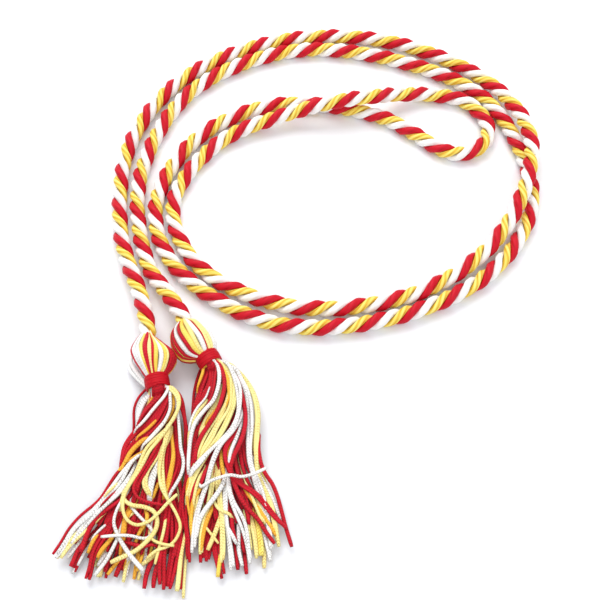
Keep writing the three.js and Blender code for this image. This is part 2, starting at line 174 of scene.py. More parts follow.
# The bundles of cords that show on top of each skirt. Each has its colour, how high it lies in the pile from
# 0 to 1, and the line it follows in the photo's frame: (across, down, width), all in pixels. A point without
# a width is as wide as the one before.
LEFT_BUNDLES = (
    ("crimson", 0.3, ((150.5, 386, 3), (146, 389.5), (139, 397), (135, 408), (133.6, 430))),
    ("white", 0.6, (
        (154, 386.5, 3.6), (151.4, 391, 5.6), (148.4, 396, 7), (144, 401.5, 8), (141, 408, 7.4),
        (138.4, 416, 6.4), (136.4, 428, 4),
    )),
    ("amber", 0.66, ((157, 387, 2), (155, 392.5, 2.4), (152, 398.5), (149, 404.5, 2.2), (146, 410.5, 2))),
    ("white", 0.6, ((151.4, 400, 1.5), (149, 405.5, 2), (146, 411), (143.6, 416, 1.5))),
    ("crimson", 0.74, (
        (163, 388, 10), (160, 397.2, 11), (153.6, 404.2, 10), (147, 411.2, 8), (142.4, 418.2, 5),
        (138.5, 426, 3),
    )),
    ("crimson", 0.8, (
        (168.5, 391, 6), (165.5, 402, 9), (161, 411.2, 13), (155.5, 419.5, 17), (146.5, 428, 20),
        (136, 438, 19), (128, 448, 13), (124.5, 458, 7), (122, 467, 4),
    )),
    ("crimson", 0.92, (
        (121.5, 466, 2), (117, 473.4, 3), (109.6, 485), (100.6, 497.6), (92.1, 506), (80, 517),
        (67.9, 530.3), (60.6, 542.4), (54, 553.3),
    )),
    ("amber", 0.9, ((158, 418, 2), (154, 423, 3), (149, 428), (143, 433), (138, 437, 2))),
    ("amber", 0.92, (
        (151, 434.4, 1.6), (144, 438.8, 4.4), (136.5, 445.5, 5), (130, 453), (125.6, 461, 4), (122, 468, 3),
    )),
    ("white", 0.96, (
        (168.6, 388, 3.4), (164, 397.2), (157.9, 404.2), (151.6, 411.2), (146, 418.2), (140.4, 424.6, 3),
        (135.6, 429.6, 2),
    )),
    ("white", 0.9, (
        (169.6, 389, 3.6), (169.9, 398), (170.2, 407.7), (168.4, 414.7), (164.5, 422.4, 4), (157.5, 431, 5),
        (150, 439), (143, 445.5, 3),
    )),
    ("amber", 0.74, ((171, 391, 3), (173.7, 403, 3.4), (172.2, 411.2), (168.4, 418.2), (161, 427.2, 3))),
    ("pale", 0.94, (
        (170.8, 388.5, 4), (176.4, 394, 4.6), (179, 401.7), (178.2, 408.7), (175.4, 415.7), (171.2, 422.8),
        (165.5, 430.5, 5), (156, 441, 6), (148, 450, 7), (142, 462, 8), (136.5, 473), (130, 484, 7),
        (125, 494, 5), (122, 506, 4),
    )),
    ("amber", 0.86, (
        (158, 438, 3), (146.7, 448.5), (134.5, 456.4), (124.8, 463.6), (118.6, 471.5, 2.6),
        (110.4, 484.5, 2.4), (102, 497.5), (92.5, 509), (80.5, 521), (70, 534, 2),
    )),
    ("white", 0.86, (
        (141, 452, 3), (134, 460, 5), (127.5, 469, 7), (120.5, 478.5, 8), (112.5, 489), (104, 499, 6.6),
        (94.5, 510, 5.4), (84, 520.5, 5), (74, 531), (65.5, 543, 4.6), (59, 553, 4),
    )),
    ("white", 0.88, (
        (133, 466, 3), (130, 475, 5), (125.5, 485, 6.6), (118, 494.5, 7.6), (108.5, 503, 7),
        (99.5, 511, 5.6), (90, 520, 5), (80, 531, 4.6), (71.5, 543, 4),
    )),
    ("crimson", 0.84, (
        (128, 479.5, 1.8), (121.5, 487.5, 2.2), (113.5, 494.6), (105.5, 501.6, 2), (98, 508.6, 1.6),
    )),
    ("crimson", 0.84, ((95, 512, 1.6), (90.5, 516, 2.2), (85, 521), (79, 527, 1.8), (74, 532.5, 1.4))),
    ("pale", 0.93, ((120.5, 479.5, 1.8), (116, 485, 3), (110.5, 490.6), (105, 496.6, 1.8))),
    ("amber", 0.82, (
        (125, 494, 1.8), (119, 499.4, 2.4), (111, 505.6), (103, 511.4, 2.2), (97, 516.4, 1.8),
    )),
    ("pale", 0.8, (
        (107, 507, 4), (99.5, 514.5, 6), (90, 524, 8), (79.5, 534.5, 9), (69.5, 545.5), (61.5, 556, 8.5),
    )),
    ("white", 0.5, ((98, 520, 4), (86, 535), (78, 545, 3.6), (69, 556))),
    ("crimson", 0.74, (
        (128, 493, 4), (122.4, 498.6, 5), (112.7, 505.8), (100.6, 515.5), (90.9, 526.5), (86, 537.4),
        (82.4, 549.5),
    )),
    ("crimson", 0.62, (
        (130, 494, 6), (124.8, 504, 10), (114.7, 517, 12), (106.5, 529, 11), (99.2, 541.2, 10),
        (94.3, 553.3, 9), (88.7, 572, 7),
    )),
    ("amber", 0.72, ((101, 530, 2), (96, 536.6, 3.6), (92.4, 543, 4), (89, 551, 3.6))),
    ("white", 0.76, ((107.5, 520.5, 2), (102.5, 526.6, 3.2), (97, 533, 2.8), (92.5, 538.6, 1.6))),
    ("crimson", 0.4, ((92, 530, 4), (84, 541, 5), (79, 550), (72.7, 565.5))),
    ("white", 0.35, ((95, 535, 3), (86, 550, 3.4), (78.5, 564.5))),
    ("white", 1.0, (
        (127, 492, 3.2), (122.4, 500, 3.4), (115.8, 512), (113.2, 523, 3.6), (117.6, 535.4, 4.4),
        (128.5, 552, 5.4), (142, 569),
    )),
    ("white", 1.08, ((148, 536.5, 3.2), (130, 535.6), (112.7, 536.4), (102.8, 537))),
    ("white", 0.88, ((130, 504, 3), (134.3, 510.7, 3.4), (144.2, 521.8, 3.6), (151, 529))),
    ("pale", 1.04, (
        (129, 483, 3.2), (124.3, 496, 3.4), (122.9, 509.7), (127.3, 520.6), (137, 525.7), (149, 522),
        (158.8, 513.3), (167.3, 503.4), (175, 496),
    )),
    ("pale", 0.98, (
        (126, 482, 4), (123.2, 492.7), (124.8, 500.7, 4.4), (132, 505.5, 4.6), (144.2, 507.3, 4.8),
        (154.5, 512), (157.6, 522), (155, 531.5), (146.7, 541.2), (134.5, 551), (122.4, 557),
        (113.2, 561.5),
    )),
    ("pale", 0.97, (
        (167, 424, 3), (165, 436, 3.4), (163, 449), (160, 464), (159.6, 477), (161.7, 487.9), (168.5, 500),
        (176.5, 514.5), (180, 526.7), (175.8, 538.8), (168.5, 546), (156.4, 551, 3.6), (147.7, 558.4),
    )),
    ("pale", 0.9, (
        (170, 423, 3), (165.5, 440, 5), (162, 456, 7), (160.8, 470, 6), (162.5, 483, 5), (166, 494, 4),
    )),
    ("pale", 1.01, ((149, 535.5, 3), (155, 541.4, 3.4), (164, 544.5), (172.3, 545.5))),
    ("pale", 0.82, ((165.5, 515, 3), (164.8, 524, 3.4), (162.4, 536.4), (158.8, 551), (155.4, 563, 3.2))),
    ("crimson", 0.56, (
        (174.5, 391, 4), (180.4, 400, 5.5), (184.2, 413.3, 6), (186, 429.6), (186.5, 450), (186.4, 471),
        (185.5, 489, 7), (185, 505, 7.4), (186.4, 530, 6.4), (188.8, 556.5, 4.6),
    )),
    ("white", 0.86, (
        (176.5, 402, 2.5), (178.4, 419, 3), (179.6, 434.4, 3.2), (180.8, 449, 3.4), (183.4, 462),
        (181.8, 473.7), (177, 484), (170.5, 494.5, 3),
    )),
    ("crimson", 0.56, (
        (174, 412, 4), (176.2, 427, 6), (177.6, 450, 8), (177.8, 466), (173.5, 482), (171, 494),
        (173, 506, 10), (176, 522, 12), (176, 540, 13), (173, 560, 12), (170, 578, 11), (168.4, 585.5, 10),
    )),
    ("amber", 0.7, (
        (170.5, 430, 2.5), (172.5, 443, 4.5), (173.6, 457, 7), (171.3, 471, 6), (168.3, 483, 4),
        (165.5, 492, 2.5),
    )),
    ("crimson", 0.66, (
        (168, 436, 4), (167, 449.9, 5), (164.6, 466, 6), (165.4, 480.6), (168.5, 492.7), (169, 505, 7),
        (167, 520, 9), (165, 540), (162, 560), (161.6, 583.5, 8),
    )),
    ("crimson", 0.94, (
        (164, 434, 3), (158, 446, 3.4), (149.5, 461), (139.6, 475.3), (134.6, 484), (133.4, 490.5),
        (137, 497.5), (144.2, 501.6), (152, 503.8), (161, 504.8, 3.2),
    )),
    ("crimson", 0.88, ((163.5, 437, 4), (156, 453, 6), (146, 469), (138.5, 481, 5), (135.5, 491, 4))),
    ("pale", 0.84, (
        (171, 428, 3), (163.4, 444.2, 5), (155, 460.2, 6), (147.3, 473.3), (145, 485.5), (148.9, 494.7, 5),
    )),
    ("white", 0.74, ((163, 450, 3), (158, 463, 6), (153, 476, 10), (150, 488), (149, 498, 6))),
    ("amber", 0.6, ((160, 474, 3), (157.5, 486, 4), (153, 497))),
    ("amber", 0.74, ((130, 505, 4), (125, 520, 5), (123, 532), (121, 545, 4))),
    ("crimson", 0.72, ((139, 508, 4), (134, 517, 5), (131, 527), (129, 540))),
    ("amber", 0.8, ((145, 508, 4), (147.4, 514, 5), (147, 521), (141, 530, 4.4), (136, 540, 4))),
    ("amber", 0.78, ((134, 506, 3), (130, 512, 4.6), (125.4, 521, 5), (124, 531), (123, 540, 4))),
    ("pale", 0.78, ((137, 508, 3), (128, 517), (124, 527))),
    ("crimson", 0.84, ((121, 539, 3), (131, 543.2, 4.4), (143, 546.2), (154.5, 545, 3))),
    ("pale", 0.62, ((161, 551, 3.5), (152.5, 557, 4.5), (143, 563.5, 5))),
    ("amber", 0.58, ((142, 548, 5), (140, 556, 6), (137, 566, 5))),
    ("pale", 0.35, ((132, 555, 4), (127, 566), (124, 580))),
    ("crimson", 0.5, ((127, 553, 5), (121, 564), (116, 576))),
    ("crimson", 0.5, ((112, 548, 5), (108, 560), (105.8, 570.3))),
    ("white", 0.92, ((120, 530, 4), (116.4, 541), (107.3, 558, 4.4), (95.5, 574.5, 4.2))),
    ("amber", 0.78, ((116, 531, 4), (110, 541, 5), (102, 551), (98.5, 557, 4))),
    ("amber", 0.5, ((124, 556, 3), (114, 566, 4), (109, 572.5))),
    ("white", 0.5, ((112, 545, 4), (104, 556, 5), (99, 565, 4))),
    ("crimson", 0.54, ((158, 546, 5), (151, 562), (146, 575), (144.2, 586, 4.6))),
    ("crimson", 0.58, ((163, 546, 5), (158, 563), (154.6, 577), (153.8, 586.5, 4.6))),
    ("crimson", 0.62, ((181, 492, 4), (181, 505, 6), (180.6, 520, 7), (179, 536, 6), (176.5, 552, 5))),
    ("pale", 0.66, ((184.8, 527, 2), (183.8, 540, 3.4), (180.4, 562, 4.8), (177, 588.5, 5))),
    ("crimson", 0.35, ((183, 540, 3), (181.5, 565), (180.6, 586.5))),
    ("pale", 0.3, ((186, 540, 3), (184.8, 565, 3.2), (183.9, 596))),
    ("white", 0.3, ((150, 548, 4), (146, 560), (143, 574, 3))),
)

RIGHT_BUNDLES = (
    ("crimson", 0.12, ((202, 366.5, 3), (197.2, 379.6, 3.2), (194.6, 392), (193.2, 404, 3), (192, 418))),
    ("amber", 0.78, ((204.6, 366, 3.2), (202.2, 374, 3.4), (199.6, 382, 3), (197.8, 389, 1.4))),
    ("crimson", 0.66, ((209, 366, 6), (207, 377, 9), (202.4, 390, 10), (198, 401, 8), (194.6, 412, 5))),
    ("crimson", 0.76, (
        (212, 365, 6), (211.5, 378, 8), (209, 390), (204, 402, 7), (197.5, 413, 6), (193, 426, 5),
    )),
    ("white", 0.9, (
        (209.5, 386, 1.5), (205.5, 398, 2.5), (197.5, 408.4, 3), (191.8, 420), (189.5, 430, 2.5),
    )),
    ("pale", 0.86, (
        (208.5, 396, 2), (204.5, 404, 4), (198, 411.5, 4.5), (193, 421), (190.2, 431.3, 4),
        (189.4, 447, 3.4), (188.6, 470, 3),
    )),
    ("crimson", 0.88, (
        (216, 366, 2.5), (215.6, 378, 3), (213.2, 392.6), (207, 406), (199, 416.6), (194, 427),
    )),
    ("white", 0.99, (
        (215.9, 362.3, 4), (219, 371.9, 5), (218.3, 386.3), (213.5, 400.6), (203.9, 411), (194.8, 422.9),
        (190.8, 435.7), (189.2, 451.6, 4.6), (188.6, 470, 4),
    )),
    ("pale", 0.8, (
        (222, 384, 2.5), (217.5, 400.6, 5), (210.3, 412.5, 6), (204.5, 423.6, 5), (201, 433, 3),
    )),
    ("amber", 0.84, ((223.5, 388, 2), (220, 403, 2.6), (213, 414), (206.5, 424))),
    ("crimson", 0.92, (
        (219, 363.9, 4), (223, 375, 4.6), (224.3, 389.4), (219.5, 407), (210.3, 422.3, 4.8),
        (202.3, 435.2, 5), (197, 448.5), (194.5, 462, 4.6),
    )),
    ("crimson", 0.74, (
        (203, 420, 4), (197, 431, 7), (193.4, 444), (191.8, 457), (189.4, 470, 6), (187, 484, 5),
    )),
    ("amber", 0.9, ((220.7, 363.9, 3), (226.3, 375, 4), (228.6, 387.8), (228.4, 397, 3), (226, 406, 2))),
    ("pale", 0.86, (
        (224.5, 364.5, 4), (230.3, 374.5, 6), (232.3, 388.8, 9), (229.5, 404.8, 14), (222.6, 420.2, 18),
        (213.2, 435.7, 17), (204.6, 450.6, 13.5), (199.4, 462, 12), (194.4, 473, 9), (190, 485, 5),
        (187.8, 498, 3.4),
    )),
    ("white", 0.98, (
        (227.8, 363.9, 4), (235.8, 379.9, 5), (239.3, 395.8, 6), (239, 411.8), (232.6, 427.2, 5.6),
        (219.9, 441.6, 4.6), (207, 454.6, 4.4), (196.8, 465.5, 4), (191.6, 472.4, 3),
    )),
    ("white", 0.94, (
        (241, 410, 3), (238.6, 420.5, 4.6), (232, 431.9, 5), (221.5, 444.7), (215, 458), (210.3, 470.8),
        (206.6, 483.5, 5.6), (200.7, 499.5, 6), (196.4, 515.4), (194.2, 546),
    )),
    ("crimson", 0.95, (
        (236, 376, 3), (239.8, 386.3, 4), (243.6, 399, 4.6), (245.4, 415, 4.8), (243.6, 430.9),
        (239, 445.3), (233.4, 458, 5), (230.8, 468), (232.6, 479), (237.6, 492), (242.8, 502),
        (249, 510, 4.6), (258, 519.2), (266, 531.4, 4.4), (273.6, 542, 4),
    )),
    ("white", 0.86, (
        (242, 416, 2.5), (240.4, 427, 3.4), (236.8, 438, 4), (231.4, 451), (229.4, 461.5, 3.4),
    )),
    ("amber", 0.8, ((238, 428, 2.5), (232.6, 438.4, 3.4), (228, 450.5), (227.6, 461.5, 3))),
    ("crimson", 0.88, (
        (238, 424, 3), (233.4, 434.5, 4.4), (226.3, 445.3, 5), (224.6, 456.4), (228.4, 468.2, 5.4),
        (233.6, 478.2, 6), (243.8, 486.2, 5.6), (252.4, 491.5, 5.4), (261.3, 499.5, 5), (269.3, 510.2, 4.6),
        (277.3, 519.7), (282.6, 525, 4.4),
    )),
    ("amber", 0.7, ((222.5, 446, 3), (221.6, 455, 4), (222.3, 466, 4.4), (224.7, 477, 4), (226, 490, 3))),
    ("white", 0.76, (
        (235, 369, 4), (241, 379.5, 5), (247, 391, 6.4), (249.8, 407, 7.6), (250, 426, 8), (248.8, 443.7),
        (250, 461.2), (253.4, 473.4, 7), (257, 486, 6), (263, 500), (268, 520), (271, 545),
    )),
    ("pale", 0.6, (
        (230.5, 365.5, 4), (236.5, 371, 5), (244.2, 379.3, 5.4), (253, 394.2, 5.6), (257.2, 411.8),
        (257.2, 432.5, 5.4), (256.4, 451.6, 5.2), (257.4, 472.4, 5), (263, 488), (270.5, 505), (275, 524),
        (277.6, 540, 4.6),
    )),
    ("crimson", 0.66, (
        (259.8, 433, 2.4), (259.3, 441, 4.4), (259.2, 451.6, 4.6), (261.3, 465), (264.8, 474), (271.7, 484),
        (277.3, 496.3), (282, 510.7), (286, 526.6), (291, 545),
    )),
    ("white", 0.45, ((258, 470, 4), (262.5, 480, 5), (269.3, 492, 5.6), (275.7, 507.5), (280.4, 519, 5))),
    ("white", 0.86, ((254, 468, 3), (257.4, 478, 3.4), (261.3, 488.3), (264.5, 499.5), (266, 510, 3))),
    ("white", 1.25, (
        (200, 485.4, 3.6), (210.3, 480.4), (221.5, 477.2), (231, 475.6), (240.6, 477.2), (248.6, 475.6),
        (256.6, 472.4), (264.5, 468.4),
    )),
    ("amber", 0.94, (
        (193.5, 471.5, 1.6), (190, 477, 2.6), (187.4, 486, 3), (186.8, 497), (188.4, 510, 2.6),
    )),
    ("crimson", 0.84, ((199, 476, 2), (196, 482.5, 3.4), (193, 490.5, 3.6), (190.8, 500, 3))),
    ("pale", 0.9, (
        (204, 468, 2), (200.4, 475.5, 3.4), (197, 484, 3.6), (194.8, 493, 3.4), (193.8, 503, 3),
    )),
    ("crimson", 0.9, ((209, 462, 2), (206, 469.5, 4), (203.6, 477, 4.4), (201.4, 484, 3))),
    ("amber", 0.84, (
        (205, 483, 3), (200.2, 490, 4), (194.4, 498, 4.4), (191.4, 509), (190.6, 523.4), (192.6, 539, 4),
    )),
    ("pale", 0.66, ((200, 470, 6), (198, 485, 7), (196, 500), (193.4, 520, 6), (193.4, 540, 5))),
    ("white", 0.9, (
        (225, 474, 3.6), (223.4, 481.4, 4.6), (219.5, 490, 5), (211.9, 501), (203.9, 512.2), (199, 523.4),
        (196.7, 535.6, 4.6),
    )),
    ("pale", 0.7, (
        (214, 462, 6), (213, 475), (212, 490), (209, 505), (204, 521, 5), (201, 535), (200.6, 549, 4.6),
    )),
    ("amber", 0.76, ((211.5, 508, 4), (208.5, 517, 5), (204.8, 530), (201.5, 549, 4.4))),
    ("pale", 0.78, ((221, 514, 4), (218, 524.4, 5), (213.3, 536.4), (208.7, 549, 4.4))),
    ("pale", 0.8, (
        (217.5, 470, 5), (218, 484, 6), (219.9, 499.5, 6.4), (222, 515.4), (222.3, 531.4), (222, 557, 5.6),
    )),
    ("gold", 0.6, ((221.5, 545, 4), (220, 556, 4.4), (218.4, 575))),
    ("pale", 0.92, ((203, 523, 2.6), (206.3, 527.8, 3), (213.3, 537.4), (217.5, 542.8))),
    ("pale", 0.9, ((213, 497, 3), (217, 507, 3.4), (222, 511.5), (228.5, 513.4))),
    ("white", 0.86, (
        (227, 478, 4), (229, 488, 5.6), (232.6, 500, 7), (238, 513, 7.4), (243, 525), (247, 539, 7),
        (249.6, 557.5, 6.4),
    )),
    ("white", 0.74, (
        (226, 474, 4), (225.6, 485, 5.4), (226, 500, 6), (226.6, 515.4), (228, 531.4), (229.6, 548),
        (231.6, 566.5, 5.6),
    )),
    ("white", 0.9, ((225.5, 523, 3), (228.6, 529, 4), (233, 536.6), (236.2, 543, 3.6))),
    ("white", 0.6, ((237, 515, 4), (238.2, 530, 4.4), (239, 547.3), (242, 564, 4))),
    ("crimson", 0.64, ((229.5, 507, 4), (231.2, 518, 5), (233, 530.4), (236.5, 541, 4))),
    ("crimson", 0.5, ((240, 520, 4), (242, 534, 4.4), (244.2, 551, 4))),
    ("crimson", 0.45, ((233.5, 535, 5), (235.6, 550, 6.4), (237.4, 565, 6))),
    ("crimson", 0.3, ((243.5, 548, 4), (245, 562, 4.6), (246.2, 573))),
    ("crimson", 0.5, ((219.5, 512, 7), (217.5, 530, 9), (216, 547, 10), (218.5, 560), (221, 571, 9))),
    ("crimson", 0.42, ((211, 512, 6), (207.5, 525, 8), (204.6, 540), (202.6, 556, 5))),
    ("crimson", 0.46, ((214, 520, 6), (211, 538, 7), (208.4, 557.6, 6))),
    ("crimson", 0.72, ((205, 462, 4), (204.5, 473, 4.4), (202, 484, 4), (198, 495))),
    ("amber", 0.72, (
        (240, 481, 3), (246, 491.5, 4), (252, 500.5), (260, 511, 4.4), (268, 522), (276, 535),
    )),
    ("pale", 0.68, ((247, 484, 4), (252, 494, 6), (257, 505, 6.4), (263, 520, 6))),
    ("crimson", 0.8, ((240, 496, 4), (244.4, 504, 5), (247.6, 512), (249, 522, 4))),
    ("pale", 0.56, ((246, 508, 5), (250.2, 519, 6), (253.4, 532), (256.4, 554))),
    ("pale", 0.62, ((243, 506, 4), (246.6, 519, 5), (248.8, 533), (250.4, 549, 4.6))),
    ("gold", 0.5, ((254, 510, 5), (258, 522, 6), (260, 539, 6.4), (260.8, 554, 6))),
    ("white", 0.46, ((259, 512, 5), (263, 524, 7), (266.6, 541, 7.6), (269.6, 555, 7))),
    ("pale", 0.3, ((262, 535, 4), (264, 552, 4.4), (264.6, 567))),
)

# The camera: its place in millimetres, how far it looks down on the table, its focal length in pixels of the
# photo's frame, the width of that square frame, and that of the sensor in millimetres.
CAMERA_PLACE = Vector((45.0, -101.0, 325.3))
CAMERA_RISE = math.radians(63.1)
FOCAL_PIXELS = 883.0
FRAME_PIXELS = 600
SENSOR_WIDTH = 36.0

# Which yarns fill the pile underneath, in turn.
FILLING = ("crimson", "pale", "crimson", "white", "crimson", "gold", "crimson", "pale", "crimson")


def srgb(*values):
    """The linear colour of a colour picked on a screen, each part from 0 to 255."""
    parts = [v / 255 for v in values]
    return tuple(p / 12.92 if p <= 0.04045 else ((p + 0.055) / 1.055) ** 2.4 for p in parts)


class RopeSettings(bpy.types.PropertyGroup):
    diameter: FloatProperty(
        name="Diameter", description="Rope, across the crests of its strands", default=6.8 * MM, unit="LENGTH"
    )
    strand_width: FloatProperty(
        name="Strand width", description="One strand, across", default=3.05 * MM, unit="LENGTH"
    )
    yarns: IntProperty(name="Yarns", description="Yarns twisted together in a strand", default=4, min=2)
    yarn_relief: FloatProperty(
        name="Yarn relief",
        description="Depth of the grooves between a strand's yarns",
        default=0.24 * MM,
        unit="LENGTH",
    )
    step: FloatProperty(
        name="Step", description="Length of one step along the rope", default=0.9 * MM, unit="LENGTH"
    )


class TasselSettings(bpy.types.PropertyGroup):
    cord_diameter: FloatProperty(
        name="Cord", description="One knitted cord of a tassel, across", default=1.32 * MM, unit="LENGTH"
    )
    band_turns: IntProperty(name="Band turns", description="Turns of thread on a band", default=13, min=2)
    seed: IntProperty(name="Seed", description="Lay of the loose cords", default=4)


class ColourSettings(bpy.types.PropertyGroup):
    crimson: FloatVectorProperty(
        name="Crimson", description="Red yarn", subtype="COLOR", size=3, min=0, max=1,
        default=srgb(198, 12, 34),
    )
    white: FloatVectorProperty(
        name="White", description="White yarn", subtype="COLOR", size=3, min=0, max=1,
        default=srgb(246, 245, 243),
    )
    gold: FloatVectorProperty(
        name="Gold", description="Gold yarn", subtype="COLOR", size=3, min=0, max=1,
        default=srgb(250, 206, 66),
    )
    pale: FloatVectorProperty(
        name="Pale gold", description="Gold yarn where it is thin", subtype="COLOR", size=3, min=0, max=1,
        default=srgb(252, 232, 150),
    )
    amber: FloatVectorProperty(
        name="Amber", description="Gold yarn where it is dense", subtype="COLOR", size=3, min=0, max=1,
        default=srgb(246, 178, 58),
    )


class StageSettings(bpy.types.PropertyGroup):
    lens: FloatProperty(
        name="Lens",
        description="Focal length of the camera in millimetres",
        default=FOCAL_PIXELS * SENSOR_WIDTH / FRAME_PIXELS,
    )
    elevation: FloatProperty(
        name="Elevation", description="Camera's angle above the table", default=CAMERA_RISE, subtype="ANGLE"
    )


class HonorCordSettings(bpy.types.PropertyGroup):
    rope: PointerProperty(type=RopeSettings)
    tassel: PointerProperty(type=TasselSettings)
    colour: PointerProperty(type=ColourSettings)
    stage: PointerProperty(type=StageSettings)


def under_pixel(across, down, height):
    """The point at that height in millimetres which the photo shows at a pixel of its 600 x 600 frame."""
    forward = Vector((0, math.cos(CAMERA_RISE), -math.sin(CAMERA_RISE)))
    upward = Vector((0, math.sin(CAMERA_RISE), math.cos(CAMERA_RISE)))
    middle = FRAME_PIXELS / 2
    ray = FOCAL_PIXELS * forward + (across - middle) * Vector((1, 0, 0)) - (down - middle) * upward
    return CAMERA_PLACE + ray * ((height - CAMERA_PLACE.z) / ray.z)


def in_frame(points):
    """The pixels across and down at which the photo's frame shows points given in millimetres."""
    away = points - np.array(CAMERA_PLACE)
    depth = away[:, 1] * math.cos(CAMERA_RISE) - away[:, 2] * math.sin(CAMERA_RISE)
    high = away[:, 1] * math.sin(CAMERA_RISE) + away[:, 2] * math.cos(CAMERA_RISE)
    return FRAME_PIXELS / 2 + FOCAL_PIXELS * np.stack([away[:, 0], -high], axis=1) / depth[:, None]


def smooth_line(points, samples):
    """Points along the centripetal Catmull-Rom spline through the given ones."""
    points = np.array(points, float)
    line = []
    for i in range(len(points) - 1):
        p1, p2 = points[i], points[i + 1]
        p0 = points[i - 1] if i > 0 else 2 * p1 - p2
        p3 = points[i + 2] if i + 2 < len(points) else 2 * p2 - p1
        d0, d1, d2 = (max(1e-6, np.dot(b - a, b - a) ** 0.25) for a, b in ((p0, p1), (p1, p2), (p2, p3)))
        start = ((p1 - p0) / d0 - (p2 - p0) / (d0 + d1) + (p2 - p1) / d1) * d1
        end = ((p2 - p1) / d1 - (p3 - p1) / (d1 + d2) + (p3 - p2) / d2) * d1
        t = np.linspace(0, 1, samples, endpoint=False)[:, None]
        bend = -3 * p1 + 3 * p2 - 2 * start - end
        twist = 2 * p1 - 2 * p2 + start + end
        line.append(p1 + start * t + bend * t**2 + twist * t**3)
    line.append(points[-1:])
    return np.vstack(line)


def angles(sides):
    """The angles of the points round a tube."""
    return np.arange(sides) / sides * 2 * math.pi


def oval(turn, across, high):
    """The radius of an oval at an angle from its upright axis, from its half width and half height."""
    return across * high / np.sqrt((high * np.sin(turn)) ** 2 + (across * np.cos(turn)) ** 2)


def painted_light_ramp(facing, start, width):
    """How lit a cord's side is painted: 0, painted shade, where it faces in or down; 1 where it faces out or
    up.
    """
    return np.clip((facing + start) / width, 0, 1)


def distances(line):
    """How far each point of a line is from its start, along the line."""
    return np.r_[0, np.cumsum(np.linalg.norm(np.diff(line, axis=0), axis=1))]


def even_line(line, step):
    """The same line with its points about one step apart, and their distances from its start."""
    along = distances(line)
    count = max(3, int(round(along[-1] / step)) + 1)
    places = np.linspace(0, along[-1], count)
    even = np.stack([np.interp(places, along, line[:, k]) for k in range(3)], axis=1)
    return even, places


def directions(line):
    """The way a line runs at each of its points."""
    tangent = np.gradient(line, axis=0)
    return tangent / np.linalg.norm(tangent, axis=1, keepdims=True)


def square_to(tangent, side):
    """The given side at each point, made square to the line, and the third direction."""
    side = side - np.sum(side * tangent, axis=1, keepdims=True) * tangent
    side = side / np.linalg.norm(side, axis=1, keepdims=True)
    return side, np.cross(tangent, side)


def carried_side(tangent, first):
    """A side square to the line that turns as little as it can along it."""
    sides = [np.array(first, float)]
    for t in tangent:
        side = sides[-1] - np.dot(sides[-1], t) * t
        sides.append(side / np.linalg.norm(side))
    return np.array(sides[1:])


# No tube goes lower than this, so that nothing is in one plane with the table.
ABOVE_TABLE = 0.02 * MM


class Yarns:
    """Tubes gathered into one piece.

    Each point keeps how lit its colour is painted, low for painted shade in grooves and on shaded sides and 1
    where it is fully lit, and which dye lot its cord is from.
    """

    def __init__(self):
        self.points, self.faces, self.places, self.slots = [], [], [], []
        self.relief, self.lots = [], []
        self.count = 0

    def add(self, line, side, across, radii, along, slot, relief=None, lot=0.5):
        """A closed tube round a line: radii has a row for each step and a column for each point round."""
        steps, sides = radii.shape
        turn = angles(sides)
        rings = (
            line[:, None, :]
            + (radii * np.cos(turn))[..., None] * side[:, None, :]
            + (radii * np.sin(turn))[..., None] * across[:, None, :]
        )
        rings[..., 2] = np.maximum(rings[..., 2], ABOVE_TABLE)
        first = self.count
        self.points.append(rings.reshape(-1, 3))
        self.relief.append((np.ones_like(radii) if relief is None else relief).reshape(-1))
        self.lots.append(np.full(steps * sides, lot))
        self.count += steps * sides
        for i in range(steps - 1):
            for j in range(sides):
                k = (j + 1) % sides
                a, b = first + i * sides, first + (i + 1) * sides
                self.faces.append((a + j, a + k, b + k, b + j))
                u, v = j / sides, (j + 1) / sides
                p, q = along[i] / MM, along[i + 1] / MM
                self.places.extend((u, p, v, p, v, q, u, q))
                self.slots.append(slot)
        for i, order in ((0, range(sides - 1, -1, -1)), (steps - 1, range(sides))):
            self.faces.append(tuple(first + i * sides + j for j in order))
            for j in order:
                self.places.extend((j / sides, along[i] / MM))
            self.slots.append(slot)

    def piece(self, name, materials):
        """The tubes as one object, with the materials in the order of their slots."""
        mesh = bpy.data.meshes.new(name)
        mesh.from_pydata(np.vstack(self.points).tolist(), [], self.faces)
        mesh.uv_layers.new(name="Yarn").data.foreach_set("uv", self.places)
        for word, values in (("relief", self.relief), ("lot", self.lots)):
            attribute = mesh.attributes.new(word, "FLOAT", "POINT")
            attribute.data.foreach_set("value", np.concatenate(values))
        for material in materials:
            mesh.materials.append(material)
        mesh.polygons.foreach_set("material_index", self.slots)
        mesh.shade_smooth()
        mesh.update()
        piece = bpy.data.objects.new(name, mesh)
        bpy.context.scene.collection.objects.link(piece)
        return piece


